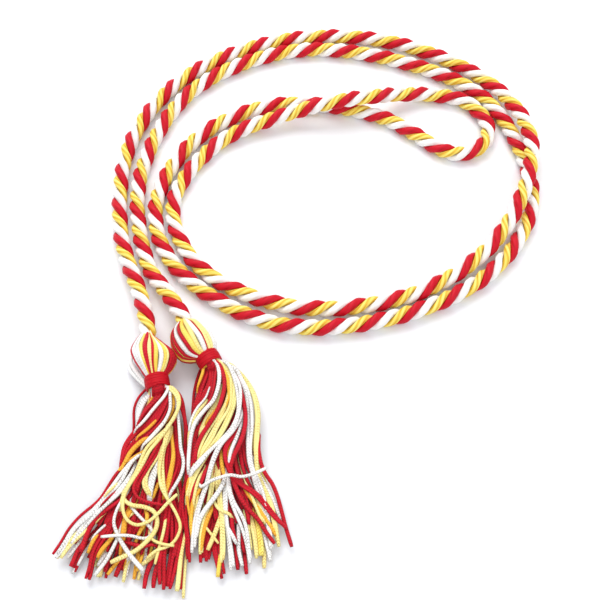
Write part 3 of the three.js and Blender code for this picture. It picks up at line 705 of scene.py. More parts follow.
class Shader:
    """A material's node tree with short ways to add the nodes that a yarn needs."""

    def __init__(self, name):
        self.material = bpy.data.materials.new(name)
        self.material.use_nodes = True
        self.tree = self.material.node_tree
        self.surface = self.tree.nodes["Principled BSDF"]

    def node(self, kind, **values):
        node = self.tree.nodes.new(kind)
        for key, value in values.items():
            setattr(node, key, value)
        return node

    def link(self, source, target):
        if isinstance(source, (int, float, tuple)):
            target.default_value = source
        else:
            self.tree.links.new(source, target)

    def math(self, operation, a, b=0.0):
        node = self.node("ShaderNodeMath", operation=operation)
        self.link(a, node.inputs[0])
        self.link(b, node.inputs[1])
        return node.outputs[0]

    def times(self, a, b):
        return self.math("MULTIPLY", a, b)

    def plus(self, a, b):
        return self.math("ADD", a, b)

    def minus(self, a, b):
        return self.math("SUBTRACT", a, b)

    def scale(self, value, low, high, to_low=0.0, to_high=1.0):
        """The value with low to high stretched to another span, and nothing beyond that span."""
        node = self.node("ShaderNodeMapRange")
        self.link(value, node.inputs["Value"])
        for key, number in zip(("From Min", "From Max", "To Min", "To Max"), (low, high, to_low, to_high)):
            node.inputs[key].default_value = number
        return node.outputs["Result"]

    def yarn_place(self):
        """Where on a yarn it is: the share of the way round, and millimetres along it."""
        node = self.node("ShaderNodeUVMap", uv_map="Yarn")
        parts = self.node("ShaderNodeSeparateXYZ")
        self.link(node.outputs["UV"], parts.inputs[0])
        return parts.outputs["X"], parts.outputs["Y"]

    def vector(self, x, y, z=0.0):
        node = self.node("ShaderNodeCombineXYZ")
        for value, socket in zip((x, y, z), node.inputs):
            self.link(value, socket)
        return node.outputs[0]

    def streaks(self, around, along, count, rate, detail=2.0, roughness=0.5, lot=0.0):
        """Noise drawn out along a yarn: count to one turn round it, and rate to a millimetre along it."""
        node = self.node("ShaderNodeTexNoise")
        place = self.vector(self.times(around, count), self.times(along, rate), lot)
        self.link(place, node.inputs["Vector"])
        node.inputs["Scale"].default_value = 1.0
        node.inputs["Detail"].default_value = detail
        node.inputs["Roughness"].default_value = roughness
        return node.outputs["Fac"]

    def attribute(self, word):
        return self.node("ShaderNodeAttribute", attribute_name=word).outputs["Fac"]

    def mix(self, share, a, b):
        node = self.node("ShaderNodeMix", data_type="RGBA")
        self.link(share, node.inputs["Factor"])
        self.link(a, node.inputs["A"])
        self.link(b, node.inputs["B"])
        return node.outputs["Result"]

    def bump(self, height, distance, strength=1.0):
        node = self.node("ShaderNodeBump")
        self.link(height, node.inputs["Height"])
        node.inputs["Distance"].default_value = distance
        node.inputs["Strength"].default_value = strength
        self.tree.links.new(node.outputs["Normal"], self.surface.inputs["Normal"])

    def finish(self, colour, roughness, sheen, specular=0.4):
        self.link(colour, self.surface.inputs["Base Color"])
        self.link(roughness, self.surface.inputs["Roughness"])
        self.surface.inputs["Sheen Weight"].default_value = sheen
        self.surface.inputs["Sheen Roughness"].default_value = 0.4
        self.surface.inputs["Specular IOR Level"].default_value = specular
        return self.material


def tone(colour, shade, warmth=0.0, paleness=0.0):
    """A lighter or darker colour of the same yarn, warmer where it is in shade."""
    parts = [part * shade * (1 - k * warmth) for k, part in enumerate(colour)]
    return (*(min(1.0, part * (1 - paleness) + paleness) for part in parts), 1.0)


YARNS = ("crimson", "white", "gold", "pale", "amber")

# Painted light for each yarn: how dark and warm its painted shade is in the grooves, then how light, warm and
# pale its painted highlight is on the crests. The knitted cords take that light colour as a tone that comes
# and goes along them at random.
YARN_PAINTED_LIGHT = {
    "crimson": (0.36, 0.1, (1.12, -0.13, 0.0)),
    "white": (0.38, 0.06, (1.03, 0.0, 0.0)),
    "gold": (0.62, 0.13, (1.02, -0.45, 0.17)),
    "pale": (0.62, 0.18, (1.04, -0.12, 0.0)),
    "amber": (0.66, 0.27, (1.1, -0.2, 0.0)),
}


def shades(colour, groove_shade, warmth, light):
    """A yarn's colour in painted shade, its own colour, and its colour with a painted highlight."""
    return tone(colour, groove_shade, warmth), tone(colour, 1.0), tone(colour, *light)


def satin_strand(name, colour, groove_shade, warmth, light, reach):
    """Rayon twisted in a strand: fine threads, painted shade between its yarns, a painted highlight on
    crests.
    """
    shader = Shader(name)
    around, along = shader.yarn_place()
    slant = shader.plus(around, shader.times(along, 0.015))
    threads = shader.streaks(slant, along, 40.0, 0.12, 3.0, 0.6)
    blotch = shader.streaks(slant, along, 7.0, 0.1)
    relief = shader.attribute("relief")
    shade_tone, plain, light_tone_and_highlight = shades(colour, groove_shade, warmth, light)
    # Painted highlight on the crests.
    base = shader.mix(shader.scale(relief, 0.45, 0.98), plain, light_tone_and_highlight)
    base = shader.mix(shader.scale(blotch, 0.42, 0.66, 0.0, 0.6), base, plain)
    # Painted shade in the grooves between yarns and on the sides facing into the rope.
    base = shader.mix(shader.scale(relief, reach, 0.1 * reach), base, shade_tone)
    # Painted shade in the fine gaps between threads.
    base = shader.mix(shader.scale(threads, 0.6, 0.3, 0.0, 0.4 * reach), base, shade_tone)
    shader.bump(threads, 0.12 * MM, 0.5)
    return shader.finish(base, 0.48, 0.02, 0.2)


# A knitted cord has this many columns of stitches round it, and this many stitches to a millimetre.
WALES = 4.0
STITCHES = 0.92


def knitted_cord(name, colour, groove_shade, warmth, light, speck_shade=1.0):
    """A thin knitted cord: rows of small slanting stitches; painted shade in specks between them and on its
    sides.
    """
    shader = Shader(name)
    around, along = shader.yarn_place()
    lot = shader.attribute("lot")
    wale = shader.math("ABSOLUTE", shader.minus(shader.math("FRACT", shader.times(around, WALES)), 0.5))
    row = shader.plus(shader.times(along, STITCHES), shader.times(wale, 1.1))
    row = shader.plus(row, shader.times(lot, 17.0))
    stitch = shader.math("SINE", shader.times(row, 2 * math.pi))
    rib = shader.minus(1.0, shader.times(wale, 1.2))
    height = shader.times(shader.scale(stitch, -1.0, 1.0), rib)
    wander = shader.streaks(lot, along, 40.0, 0.055, 3.0)
    specks = shader.streaks(around, along, 5.0, 0.9, 2.0, 0.6, lot)
    uneven = shader.streaks(lot, along, 23.0, 0.13)
    shade_tone, plain, light_tone_and_highlight = shades(colour, groove_shade, warmth, light)
    base = shader.mix(shader.scale(wander, 0.38, 0.62), light_tone_and_highlight, plain)
    # Painted shade: dark specks in the gaps between stitches, stronger in some places than in others.
    stitch_gap_shade = shader.times(shader.scale(height, 0.3, 0.04), shader.scale(specks, 0.35, 0.6, 0.25, 1.0))
    stitch_gap_shade = shader.times(stitch_gap_shade, shader.scale(uneven, 0.36, 0.6, 0.25 * speck_shade, 1.1 * speck_shade))
    base = shader.mix(stitch_gap_shade, base, shade_tone)
    # Painted shade on a cord's sides that face down or into the bulb.
    base = shader.mix(shader.scale(shader.attribute("relief"), 0.9, 0.15), base, shade_tone)
    shader.bump(height, 0.2 * MM, 0.55)
    return shader.finish(base, 0.55, 0.1, 0.25)


def wound_thread(name, colour):
    """Smooth thread wound side by side: fine fibres along each turn."""
    shader = Shader(name)
    around, along = shader.yarn_place()
    fibres = shader.streaks(around, along, 9.0, 0.25, 3.0, 0.6)
    base = shader.mix(shader.scale(fibres, 0.35, 0.65), tone(colour, 0.72, 0.05), tone(colour, 1.2, 0.05))
    shader.bump(fibres, 0.08 * MM, 0.5)
    return shader.finish(base, 0.5, 0.0, 0.2)


def finishes(name, kind, colours, *more):
    """Every colour of yarn in one kind of finish, in the order of YARNS."""
    return [kind(name + "_" + word, getattr(colours, word), *YARN_PAINTED_LIGHT[word], *more) for word in YARNS]


def settings():
    """The sizes and colours that the panel shows."""
    return bpy.context.scene.honor_cord


def rope_route():
    """The rope's centreline in millimetres, never lower than half its diameter."""
    line = smooth_line(ROPE_ROUTE, ROUTE_SAMPLES)
    line[:, 2] = np.maximum(line[:, 2], ROPE_LOWEST)
    return line


def rope_line(step):
    """The rope's centreline in even steps."""
    return even_line(rope_route() * MM, step)


def stripe_places():
    """How far along the rope each of the photo's stripes is, in millimetres."""
    line = rope_route()
    along = distances(line)
    seen = in_frame(line)
    places = []
    low, high, last = 0, FIRST_STRIPE, 0
    for turns, across, down in ROPE_STRIPES:
        if places:
            low, high = (places[-1] + (turns - last) * length for length in TURN_LENGTHS)
        apart = np.linalg.norm(seen - (across, down), axis=1)
        apart[(along < low) | (along > high)] = math.inf
        places.append(along[apart.argmin()])
        last = turns
    return np.array(places)


def lengthened(line, reach):
    """The line with a straight stretch added at both ends."""
    first = line[0] - line[1]
    last = line[-1] - line[-2]
    ends = (line[0] + first / np.linalg.norm(first) * reach, line[-1] + last / np.linalg.norm(last) * reach)
    return np.vstack([ends[0], line, ends[1]])


def turns_at(along):
    """How many times the strands have gone round at places along the rope, also a little past its ends."""
    places = stripe_places()
    turns = np.array([row[0] for row in ROPE_STRIPES], float)
    low = (turns[1] - turns[0]) / (places[1] - places[0])
    high = (turns[-1] - turns[-2]) / (places[-1] - places[-2])
    past = 60
    places = np.r_[places[0] - past, places, places[-1] + past]
    turns = np.r_[turns[0] - past * low, turns, turns[-1] + past * high]
    return np.interp(along / MM, places, turns)


class HONORCORD_OT_rope(bpy.types.Operator):
    """Lay three strands of twisted yarn along the rope's route"""

    bl_idname = "honorcord.rope"
    bl_label = "Rope"

    def execute(self, context):
        rope = settings().rope
        route, along = rope_line(rope.step)
        line = lengthened(route, IN_HEAD)
        along = np.r_[-IN_HEAD, along, along[-1] + IN_HEAD]
        tangent = directions(line)
        up, across = square_to(tangent, np.tile(SEEN_SIDE, (len(line), 1)))
        half = rope.strand_width / 2
        middle = rope.diameter / 2 - half
        turn = angles(STRAND_SIDES)
        rounds = turns_at(along)
        yarns = Yarns()
        materials = []
        for slot, (word, swell, reach) in enumerate(ROPE_STRANDS):
            colour = getattr(settings().colour, word)
            materials.append(satin_strand("rope_" + word, colour, *YARN_PAINTED_LIGHT[word], reach))
            angle = 2 * math.pi * (slot / 3 - rounds)
            outward = np.cos(angle)[:, None] * up + np.sin(angle)[:, None] * across
            strand = line + middle * outward
            run = directions(strand)
            out, beside = square_to(run, outward)
            twist = 2 * math.pi * rounds / rope.yarns
            lobes = np.abs(np.cos(rope.yarns / 2 * (turn[None, :] + twist[:, None])))
            crests = lobes**0.7
            radii = half * swell - rope.yarn_relief * (1 - crests)
            # Painted light: painted shade in the grooves between yarns and on the sides facing into the rope,
            # a painted highlight on the crests.
            relief = crests * painted_light_ramp(np.cos(turn), 0.42, 0.4)
            yarns.add(strand, out, beside, radii, distances(strand), slot, relief)
        piece = yarns.piece("twisted_rope", materials)
        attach(piece, "root")
        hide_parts("rope")
        return {"FINISHED"}


class TasselFrame:
    """Turns places on a tassel into places on the table, all in millimetres."""

    def __init__(self, side):
        row = TASSELS[side]
        turn = math.radians(row["head_turn"])
        self.top = np.array((*row["top"], AXIS_HEIGHT))
        self.down = np.array((math.sin(turn), -math.cos(turn), 0.0))
        self.right = np.array((math.cos(turn), math.sin(turn), 0.0))
        self.up = np.array((0.0, 0.0, 1.0))
        self.head = row["head"]
        self.band = row["band"]
        self.neck = self.top + self.down * (self.head + self.band)
        lean = math.radians(row["skirt_turn"])
        self.skirt_down = np.array((math.sin(lean), -math.cos(lean), 0.0))
        self.skirt_right = np.array((math.cos(lean), math.sin(lean), 0.0))

    def on_head(self, down, right, up):
        return self.top + self.down * down + self.right * right + self.up * up

    def on_skirt(self, down, right, height):
        place = self.neck + self.skirt_down * down + self.skirt_right * right
        place[2] = height
        return place


def table(rows, at, column=1):
    """The value of one column at a place, on straight lines between the rows."""
    places = [row[0] for row in rows]
    return float(np.interp(at, places, [row[column] for row in rows]))


# How many points a loose cord's curve has between two points given for it.
CORD_SAMPLES = 14

# The heads' cords. In millimetres: how far one may stand out of the others, how deep their middles lie under
# the bulb's surface, how thick half of one is at most, and how low it may lie.
HEAD_UNEVEN = 0.22
HEAD_CORD_DEPTH = 0.5
HEAD_CORD_HALF = 0.75
HEAD_CORD_LOWEST = 0.62
# As a share of the gap to the next cord, half their width, so that they overlap.
HEAD_OVERLAP = 0.58
# By the share of the way down: where their twist is nil, where they end inside the band, and where the
# filling below them starts and ends. Then how far the filling stays inside the bulb, in millimetres.
HEAD_UNTWISTED = 0.65
HEAD_CORDS_END = 1.26
FILLING_ENDS = (0.16, 1.28)
FILLING_INSET = 1.2


class HONORCORD_OT_heads(bpy.types.Operator):
    """Fold a bulb of cords down over each end of the rope"""

    bl_idname = "honorcord.heads"
    bl_label = "Heads"

    def execute(self, context):
        tassel = settings().tassel
        materials = finishes("head", knitted_cord, settings().colour, 0.45)
        for side in TASSELS:
            dice = random.Random(tassel.seed + len(side))
            self.shape = HEAD_SHAPES[side]
            where = TasselFrame(side)
            yarns = Yarns()
            start = -180
            self.twist = math.radians(HEAD_TWISTS[side])
            for limit, count, colour in HEAD_CORDS[side]:
                share = (limit - start) / count
                for i in range(count):
                    middle = math.radians(start + (i + 0.5) * share)
                    self.cord(yarns, where, middle, math.radians(share), YARNS.index(colour), dice)
                start = limit
            self.filling(yarns, where)
            for stray in HEAD_STRAYS if side == "left" else ():
                self.stray(yarns, where, stray)
            piece = yarns.piece(side + "_head_cords", materials)
            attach(piece, "root")
            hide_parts(side + "_tassel_head")
        return {"FINISHED"}

    def place(self, where, share, angle, lift):
        """A point of the bulb's surface, at some share of the way down and an angle from the top."""
        sides = table(self.shape, share, 1 if angle < 0 else 2)
        height = table(self.shape, share, 3)
        right = (sides + lift) * math.sin(angle)
        return where.on_head(share * where.head, right, (height + lift) * math.cos(angle))

    def cord(self, yarns, where, around, width, slot, dice):
        """One cord from the rope's end over the bulb and into the band."""
        lift = dice.uniform(-HEAD_UNEVEN, HEAD_UNEVEN)
        sway = dice.uniform(-0.04, 0.04)
        rows = np.linspace(self.shape[0][0], HEAD_CORDS_END, 36)
        points, halves = [], []
        for share in rows:
            swell = math.sin(math.pi * min(1, max(0, share)))
            twist = self.twist * (share - HEAD_UNTWISTED) * math.cos(around) ** 2
            angle = around + sway * math.sin(2 * math.pi * share) + twist
            points.append(self.place(where, share, angle, lift * swell - HEAD_CORD_DEPTH))
            edges = [self.place(where, share, angle + turn * width / 2, 0) for turn in (-1, 1)]
            halves.append(HEAD_OVERLAP * np.linalg.norm(edges[1] - edges[0]))
        line = np.array(points) * MM
        line[:, 2] = np.maximum(line[:, 2], HEAD_CORD_LOWEST * MM)
        tangent = directions(line)
        outward = line - (where.top + np.outer(rows * where.head, where.down)) * MM
        out, beside = square_to(tangent, outward)
        flat = np.array(halves)[:, None] * MM
        turn = angles(10)
        radii = oval(turn, flat, np.minimum(flat, HEAD_CORD_HALF * MM))
        # Painted shade on each cord's sides that face into the bulb and towards its neighbours.
        relief = np.tile(painted_light_ramp(np.cos(turn), 0.1, 0.7), (len(line), 1))
        yarns.add(line, out, beside, radii, distances(line), slot, relief, dice.random())

    def stray(self, yarns, where, points):
        """A loose cord against the bulb."""
        line = np.array([where.on_head(*point) for point in points])
        line, along = even_line(smooth_line(line, CORD_SAMPLES) * MM, 0.8 * MM)
        side = carried_side(directions(line), where.right)
        radii = np.full((len(line), 8), 0.8 * MM)
        yarns.add(line, side, np.cross(directions(line), side), radii, along, YARNS.index("white"))

    def filling(self, yarns, where):
        """The body of the bulb under its cords, so that nothing shows through between them."""
        rows = np.linspace(*FILLING_ENDS, 18)
        line = np.array([where.on_head(share * where.head, 0, 0) for share in rows]) * MM
        turn = angles(20)
        tangent = directions(line)
        up, beside = square_to(tangent, np.tile(where.up, (len(line), 1)))
        radii = np.zeros((len(rows), len(turn)))
        for i, share in enumerate(rows):
            inner = [max(1.0, table(self.shape, share, column) - FILLING_INSET) for column in (1, 2, 3)]
            left, right, high = inner
            across = np.where(np.sin(turn) * np.dot(beside[0], where.right) < 0, left, right)
            radii[i] = oval(turn, across, high)
        yarns.add(line, up, beside, radii * MM, distances(line), YARNS.index("gold"))


# The bands: the radius in millimetres of each layer of thread, the points in one turn of it, and half the
# thread's thickness, as a share of the gap from turn to turn, so that the turns overlap.
BAND_RADII = (4.15, 4.4)
TURN_STEPS = 48
THREAD_HALF = 0.7


class HONORCORD_OT_bands(bpy.types.Operator):
    """Wind a band of thread round each neck"""

    bl_idname = "honorcord.bands"
    bl_label = "Bands"

    def execute(self, context):
        tassel = settings().tassel
        thread = wound_thread("wound_thread", settings().colour.crimson)
        for side in TASSELS:
            where = TasselFrame(side)
            dice = random.Random(tassel.seed)
            yarns = Yarns()
            gauge = where.band / tassel.band_turns
            for layer, radius in enumerate(BAND_RADII):
                count = tassel.band_turns - layer
                place = np.arange(TURN_STEPS * count + 1) / TURN_STEPS
                start = where.head + gauge * (0.5 + 0.5 * layer)
                wobble = 0.1 * np.sin(place * 2.3 + dice.uniform(0, 6)) + 0.03 * np.sin(place * 11.0)
                down = start + gauge * (count - 1) * place / count + wobble
                bulge = radius + 0.15 * np.sin(math.pi * place / count) + 0.03 * np.sin(place * 5.1)
                angle = 2 * math.pi * place
                line = (
                    where.top
                    + down[:, None] * where.down
                    + (bulge * np.sin(angle))[:, None] * where.right
                    + (bulge * np.cos(angle))[:, None] * where.up
                )
                line = line * MM
                centre = (where.top + down[:, None] * where.down) * MM
                out, beside = square_to(directions(line), line - centre)
                radii = np.full((len(line), 6), THREAD_HALF * gauge * MM)
                yarns.add(line, out, beside, radii, distances(line), 0)
            piece = yarns.piece(side + "_wound_band", [thread])
            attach(piece, "root")
            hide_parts(side + "_tassel_band")
        return {"FINISHED"}


# The cords inside a band, in millimetres: half the width that they leave it in, the radius that they fill,
# how far above its foot they start, and how far below its axis the lowest of those underneath leave it.
NECK_HALF = 3.1
NECK_RADIUS = 3.3
NECK_DEPTH = 3.5
NECK_FOOT = 5.3

# The cords underneath, in rows: their layer, how many they are, where they leave the band from 0 at its foot
# to 1 at its top, and how far they spread, as a share of the skirt's half width.
PILE_ROWS = (
    (0, 20, 0.1, 0.95), (1, 17, 0.22, 0.83), (2, 13, 0.34, 0.71), (2, 9, 0.6, 0.71), (1, 7, 0.95, 0.55),
)

# How they lie: the shares of the skirt's length that they may reach, how much less each layer and the sides
# reach, how far they may drift aside, and the share of the pile's height that one layer takes.
PILE_REACH = (0.79, 0.91)
LAYER_SHORTER = 0.05
SIDE_SHORTER = 0.08
DRIFT = 0.06
LAYER_RISE = 0.3
# Those that leave the band above MIXED_LEAVE are all crimson. A cord has settled in the pile by this share of
# the skirt's length, and sooner if it leaves the band above TOP_LEAVE.
MIXED_LEAVE = 0.3
TOP_LEAVE = 0.8
SETTLED = 0.22
TOP_SETTLED = 0.05

# A bundle that starts nearer to the band than this, in millimetres, comes straight out of it. Others come
# from underneath, by these shares of the way and these depths in the pile.
NEAR_BAND = 7
WAY_IN = ((0.4, 0.4), (0.8, 0.42))
# Where a bundle that doesn't lie on top stops showing, it dives this far ahead and down, in millimetres, and
# runs on underneath to a share of the skirt's length. Past NEAR_END of that length it just ends.
DIVE_AHEAD = 3.6
DIVE_DOWN = 2.2
WAY_OUT = ((0.5, 0.4), (1.0, 0.3))
END_REACH = (0.77, 0.9)
NEAR_END = 0.76
# How much its first two points and its last one dip under what lies over them, in millimetres.
FIRST_DIP = 1.5
SECOND_DIP = 0.4
LAST_DIP = 0.5
# A bundle that ends thinner than this, in millimetres, is pinched off and doesn't run on.
PINCHED = 1.3
# How thin and thick a cord may be beside its own size: one by itself, one of several, and at most.
THINNEST_ALONE = 0.5
THINNEST_OF_SEVERAL = 1.02
THICKEST = 1.35
# How much the middle of a bundle is crowned, as a share of half a cord.
CROWN = 0.35

# Where the search for the height of a bundle's point starts, in millimetres, and how far apart its cords lie,
# in half diameters.
FIRST_HEIGHT = 5.0
CORD_SPACING = 2.15

# The step along a cord in millimetres, and the distances over which it starts to sway and to swell.
CORD_STEP = 1.5
SWAY_START = 14
SWELL_START = 6


class HONORCORD_OT_skirts(bpy.types.Operator):
    """Lay the loose knitted cords of each skirt"""

    bl_idname = "honorcord.skirts"
    bl_label = "Skirts"

    def execute(self, context):
        tassel = settings().tassel
        self.half = tassel.cord_diameter / 2 / MM
        materials = finishes("skirt", knitted_cord, settings().colour)
        for side, bundles in (("left", LEFT_BUNDLES), ("right", RIGHT_BUNDLES)):
            self.dice = random.Random(tassel.seed + 3 * len(side))
            self.side = side
            self.where = TasselFrame(side)
            self.yarns = Yarns()
            self.fill(SKIRT_OUTLINES[side])
            for colour, lift, line in bundles:
                self.bundle(colour, lift, line)
            piece = self.yarns.piece(side + "_skirt_cords", materials)
            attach(piece, "root")
            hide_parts(side + "_tassel_skirt")
        return {"FINISHED"}

    def neck_points(self, side, share):
        """Where a cord leaves the band: side from -1 to 1 across it, share from 0 at the foot to 1 on top."""
        right = NECK_HALF * side
        up = math.sqrt(NECK_RADIUS**2 - right**2) * (2 * min(1.0, max(0.0, share)) - 1)
        foot = self.where.head + self.where.band
        inside = self.where.on_head(foot - NECK_DEPTH, right, up)
        return [inside, self.where.on_head(foot + 0.3, right * 1.06, up * 1.05)]

    def lay(self, points, colour, sides=8, calm=1.0, sizes=None):
        """One cord through points in millimetres, a little wavy, thinner where the band grips it."""
        line, along = even_line(smooth_line(points, CORD_SAMPLES) * MM, CORD_STEP * MM)
        tangent = directions(line)
        side = carried_side(tangent, self.where.right)
        across = np.cross(tangent, side)
        swell = np.minimum(1, along / (SWAY_START * MM))[:, None]
        for sway, reach in ((side, 0.42), (across, 0.4)):
            ripple = self.dice.uniform(0.3, 1.0) * reach * calm * MM
            waves, late = self.dice.uniform(14, 42) * MM, self.dice.uniform(0, 6)
            line = line + swell * ripple * np.sin(2 * math.pi * along / waves + late)[:, None] * sway
        grip = 0.78 + 0.22 * np.minimum(1, along / (SWELL_START * MM))
        size = self.half * self.dice.uniform(0.93, 1.07) * grip
        if sizes is not None:
            steps = distances(np.array(points))
            size = size * np.interp(along / along[-1], steps / steps[-1], sizes)
        size[-1] *= 0.82
        line[:, 2] = np.maximum(line[:, 2], size * MM)
        turn = angles(sides)
        radii = np.repeat(size[:, None] * MM, sides, axis=1)
        # Painted shade on each cord's underside and low sides; its top is painted fully lit.
        upward = np.outer(side[:, 2], np.cos(turn)) + np.outer(across[:, 2], np.sin(turn))
        relief = painted_light_ramp(upward, 0.25, 0.95)
        self.yarns.add(line, side, across, radii, along, YARNS.index(colour), relief, self.dice.random())

    def fill(self, outline):
        """The cords underneath, in layers that fan out from the band to the floor."""
        for layer, count, leave, spread in PILE_ROWS:
            for i in range(count):
                side = ((i + 0.5) / count * 2 - 1) * spread
                reach = self.dice.uniform(*PILE_REACH) - LAYER_SHORTER * layer - SIDE_SHORTER * abs(side)
                points = self.neck_points(side, leave)
                drift = self.dice.uniform(-DRIFT, DRIFT)
                for share in np.linspace(0.1, 1.0, 8) * reach:
                    middle, half = table(outline, share), table(outline, share, 2)
                    right = middle + (side + drift * share) * (half - self.half)
                    pile = LAYER_RISE * (table(PILE_TOP, share * SKIRT_LENGTH) - 1)
                    height = self.half + layer * pile * math.sqrt(max(0.05, 1 - side * side))
                    settle = min(1.0, share / (SETTLED if leave < TOP_LEAVE else TOP_SETTLED))
                    start = AXIS_HEIGHT - NECK_FOOT + 2 * NECK_RADIUS * leave
                    height = start + (height - start) * settle
                    points.append(self.where.on_skirt(share * SKIRT_LENGTH, right, height))
                colour = FILLING[(i * 5 + layer * 3) % len(FILLING)] if leave < MIXED_LEAVE else "crimson"
                self.lay(points, colour, 6)

    def height(self, place, lift):
        """How high a cord's middle lies, for a lift from 0 on the table to 1 on top of the pile."""
        far = float(np.linalg.norm((place - self.where.neck)[:2]))
        top = table(PILE_TOP, far)
        return self.half + lift * (top - 2 * self.half)

    def bundle(self, colour, lift, line):
        """Cords side by side along a line of the photo, crowned a little across the bundle."""
        centres, widths = [], []
        width = 0.0
        for across, down, *given in line:
            width = given[0] if given else width
            place = np.array(under_pixel(across, down, FIRST_HEIGHT))
            for _ in range(3):
                place = np.array(under_pixel(across, down, self.height(place, lift)))
            scale = np.linalg.norm(np.array(under_pixel(across + 10, down, place[2])) - place) / 10
            centres.append(place)
            widths.append(width * scale)
        centres, widths = np.array(centres), np.array(widths)
        run = directions(centres)
        beside = np.stack([-run[:, 1], run[:, 0], np.zeros(len(run))], axis=1)
        beside /= np.linalg.norm(beside, axis=1, keepdims=True)
        count = max(1, int(round(max(widths) / (CORD_SPACING * self.half))))
        for i in range(count):
            share = 0.0 if count == 1 else (i + 0.5) / count * 2 - 1
            offset = share * np.maximum(0, widths / 2 - (0 if count == 1 else 0.5 * self.half))
            path = centres + offset[:, None] * beside
            uneven = 0.3 if count == 1 else 0.4
            path[:, 2] += CROWN * self.half * (1 - share * share) + self.dice.uniform(-uneven, uneven)
            lead = self.lead_in(path, lift)
            out = self.lead_out(path, lift, count > 1)
            if widths[-1] < PINCHED:
                out = out[:1]
            thinnest = THINNEST_ALONE if count == 1 else THINNEST_OF_SEVERAL
            sizes = np.clip(widths / count / (2 * self.half), thinnest, THICKEST)
            sizes = np.r_[np.full(len(lead), sizes[0]), sizes, np.full(len(out), sizes[-1])]
            if len(lead) > 2:
                path[0, 2] -= FIRST_DIP
                path[1, 2] -= SECOND_DIP
            if len(out) > 1:
                path[-1, 2] -= LAST_DIP
            self.lay(lead + list(path) + out, colour, calm=1.0 if count > 1 else 0.5, sizes=sizes)

    def lead_in(self, path, lift):
        """The points before a bundle shows: out of the band, and underneath where it starts further down."""
        start = path[0]
        away = start - self.where.neck
        right = float(np.dot(away, self.where.right))
        down = float(np.dot(away, self.where.down))
        if down < NEAR_BAND:
            return self.neck_points(max(-1.0, min(1.0, right / 4.6)), 0.4 + 0.6 * min(1.0, lift))
        points = self.neck_points(max(-1.0, min(1.0, 2.0 * right / down)), 0.25)
        depth = 0.85 if lift < 0.95 else 0.4
        for share, sink in WAY_IN:
            place = self.where.neck + away * share
            place[2] = self.height(place, min(lift, depth) * sink)
            points.append(place)
        return points

    def lead_out(self, path, lift, several):
        """The points after a bundle shows: one on top ends there, and the others run on underneath."""
        last = path[-1]
        tail = (last - path[-2]) / np.linalg.norm(last - path[-2])
        away = last - self.where.neck
        far = float(np.linalg.norm(away[:2]))
        reach = SKIRT_LENGTH * self.dice.uniform(*END_REACH)
        if lift >= 1 or far > NEAR_END * SKIRT_LENGTH:
            longest = 2.6 if several else 1.0
            return [last + tail * self.dice.uniform(0.3, longest)]
        lift = min(lift, 0.85)
        turned = tail + self.where.skirt_down
        bend = last + DIVE_AHEAD * turned / np.linalg.norm(turned)
        bend[2] = min(self.height(bend, lift) - DIVE_DOWN, self.height(bend, 0.3))
        points = [bend]
        outline = SKIRT_OUTLINES[self.side]
        down = float(np.dot(away, self.where.skirt_down)) / SKIRT_LENGTH
        right = float(np.dot(away, self.where.skirt_right))
        side = (right - table(outline, down)) / table(outline, down, 2)
        side = max(-0.8, min(0.8, side + self.dice.uniform(-0.15, 0.15)))
        for share, sink in WAY_OUT:
            place_down = down + (reach / SKIRT_LENGTH - down) * share
            place_right = table(outline, place_down) + side * table(outline, place_down, 2)
            place = self.where.on_skirt(place_down * SKIRT_LENGTH, place_right, 0)
            place[2] = self.height(place, sink * lift)
            points.append(place)
        return points


# The lights: name, place and width in metres, and power in watts. Then the point that they shine at, how
# bright the white surroundings are, and half the table's width in metres.
LIGHTS = (("key", (-0.15, 0.75, 0.95), 0.9, 9.0), ("fill", (0.55, -0.5, 1.1), 1.2, 4.0))
LIT_POINT = Vector((0.05, 0.08, 0))
SURROUNDINGS = 0.75
TABLE_HALF = 4.0


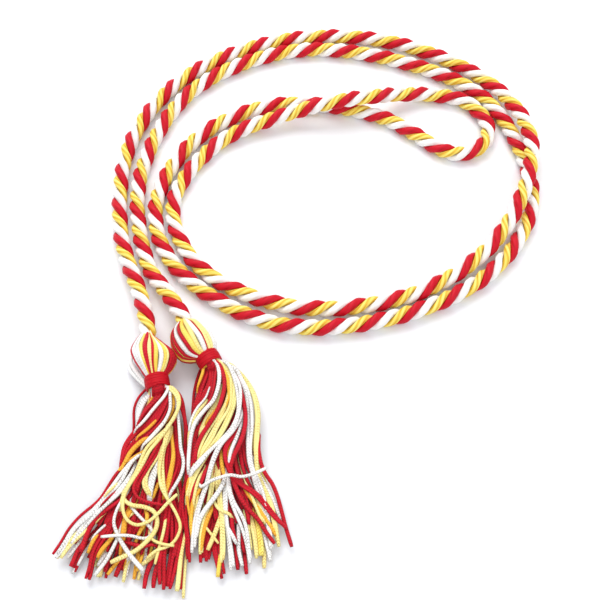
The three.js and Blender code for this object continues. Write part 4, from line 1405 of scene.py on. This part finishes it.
class HONORCORD_OT_stage(bpy.types.Operator):
    """Set the pale table, the soft lights and the camera"""

    bl_idname = "honorcord.stage"
    bl_label = "Table, lights and camera"

    def execute(self, context):
        scene = context.scene
        self.table()
        for lamp in LIGHTS:
            self.light(*lamp)
        world = bpy.data.worlds.new("studio")
        world.use_nodes = True
        background = world.node_tree.nodes["Background"]
        background.inputs["Color"].default_value = (1, 1, 1, 1)
        background.inputs["Strength"].default_value = SURROUNDINGS
        scene.world = world
        scene.view_settings.view_transform = "Standard"
        stage = settings().stage
        camera = bpy.data.objects.new("camera", bpy.data.cameras.new("camera"))
        camera.data.lens = stage.lens
        camera.data.sensor_width = SENSOR_WIDTH
        camera.data.clip_start = 0.01
        camera.location = CAMERA_PLACE * MM
        camera.rotation_euler = (math.pi / 2 - stage.elevation, 0, 0)
        scene.collection.objects.link(camera)
        scene.camera = camera
        return {"FINISHED"}

    def table(self):
        mesh = bpy.data.meshes.new("table")
        corners = [(x * TABLE_HALF, y * TABLE_HALF, 0) for x, y in ((-1, -1), (1, -1), (1, 1), (-1, 1))]
        mesh.from_pydata(corners, [], [(0, 1, 2, 3)])
        shader = Shader("table_white")
        shader.finish((0.9, 0.92, 0.96, 1.0), 0.7, 0.0, 0.1)
        mesh.materials.append(shader.material)
        floor = bpy.data.objects.new("table", mesh)
        bpy.context.scene.collection.objects.link(floor)

    def light(self, name, place, size, power):
        lamp = bpy.data.lights.new(name, "AREA")
        lamp.shape = "DISK"
        lamp.size = size
        lamp.energy = power
        light = bpy.data.objects.new(name, lamp)
        light.location = place
        light.rotation_euler = (LIT_POINT - Vector(place)).to_track_quat("-Z", "Y").to_euler()
        bpy.context.scene.collection.objects.link(light)


class HONORCORD_PT_panel(bpy.types.Panel):
    """Honor cord pieces"""

    bl_label = "Honor Cord"
    bl_idname = "HONORCORD_PT_panel"
    bl_space_type = "VIEW_3D"
    bl_region_type = "UI"
    bl_category = "Honor Cord"

    def draw(self, context):
        chosen = context.scene.honor_cord
        for group in (chosen.rope, chosen.tassel, chosen.colour, chosen.stage):
            box = self.layout.box()
            for name in group.__annotations__:
                box.prop(group, name)
        for maker in MAKERS:
            self.layout.operator(maker.bl_idname)


MAKERS = (
    HONORCORD_OT_stage,
    HONORCORD_OT_rope,
    HONORCORD_OT_heads,
    HONORCORD_OT_bands,
    HONORCORD_OT_skirts,
)
CLASSES = (
    RopeSettings,
    TasselSettings,
    ColourSettings,
    StageSettings,
    HonorCordSettings,
    *MAKERS,
    HONORCORD_PT_panel,
)


def register():
    for cls in CLASSES:
        bpy.utils.register_class(cls)
    bpy.types.Scene.honor_cord = PointerProperty(type=HonorCordSettings)


def unregister():
    del bpy.types.Scene.honor_cord
    for cls in reversed(CLASSES):
        bpy.utils.unregister_class(cls)


def main():
    register()
    for maker in MAKERS:
        group, _, name = maker.bl_idname.partition(".")
        getattr(getattr(bpy.ops, group), name)()


if __name__ == "__main__":
    main()
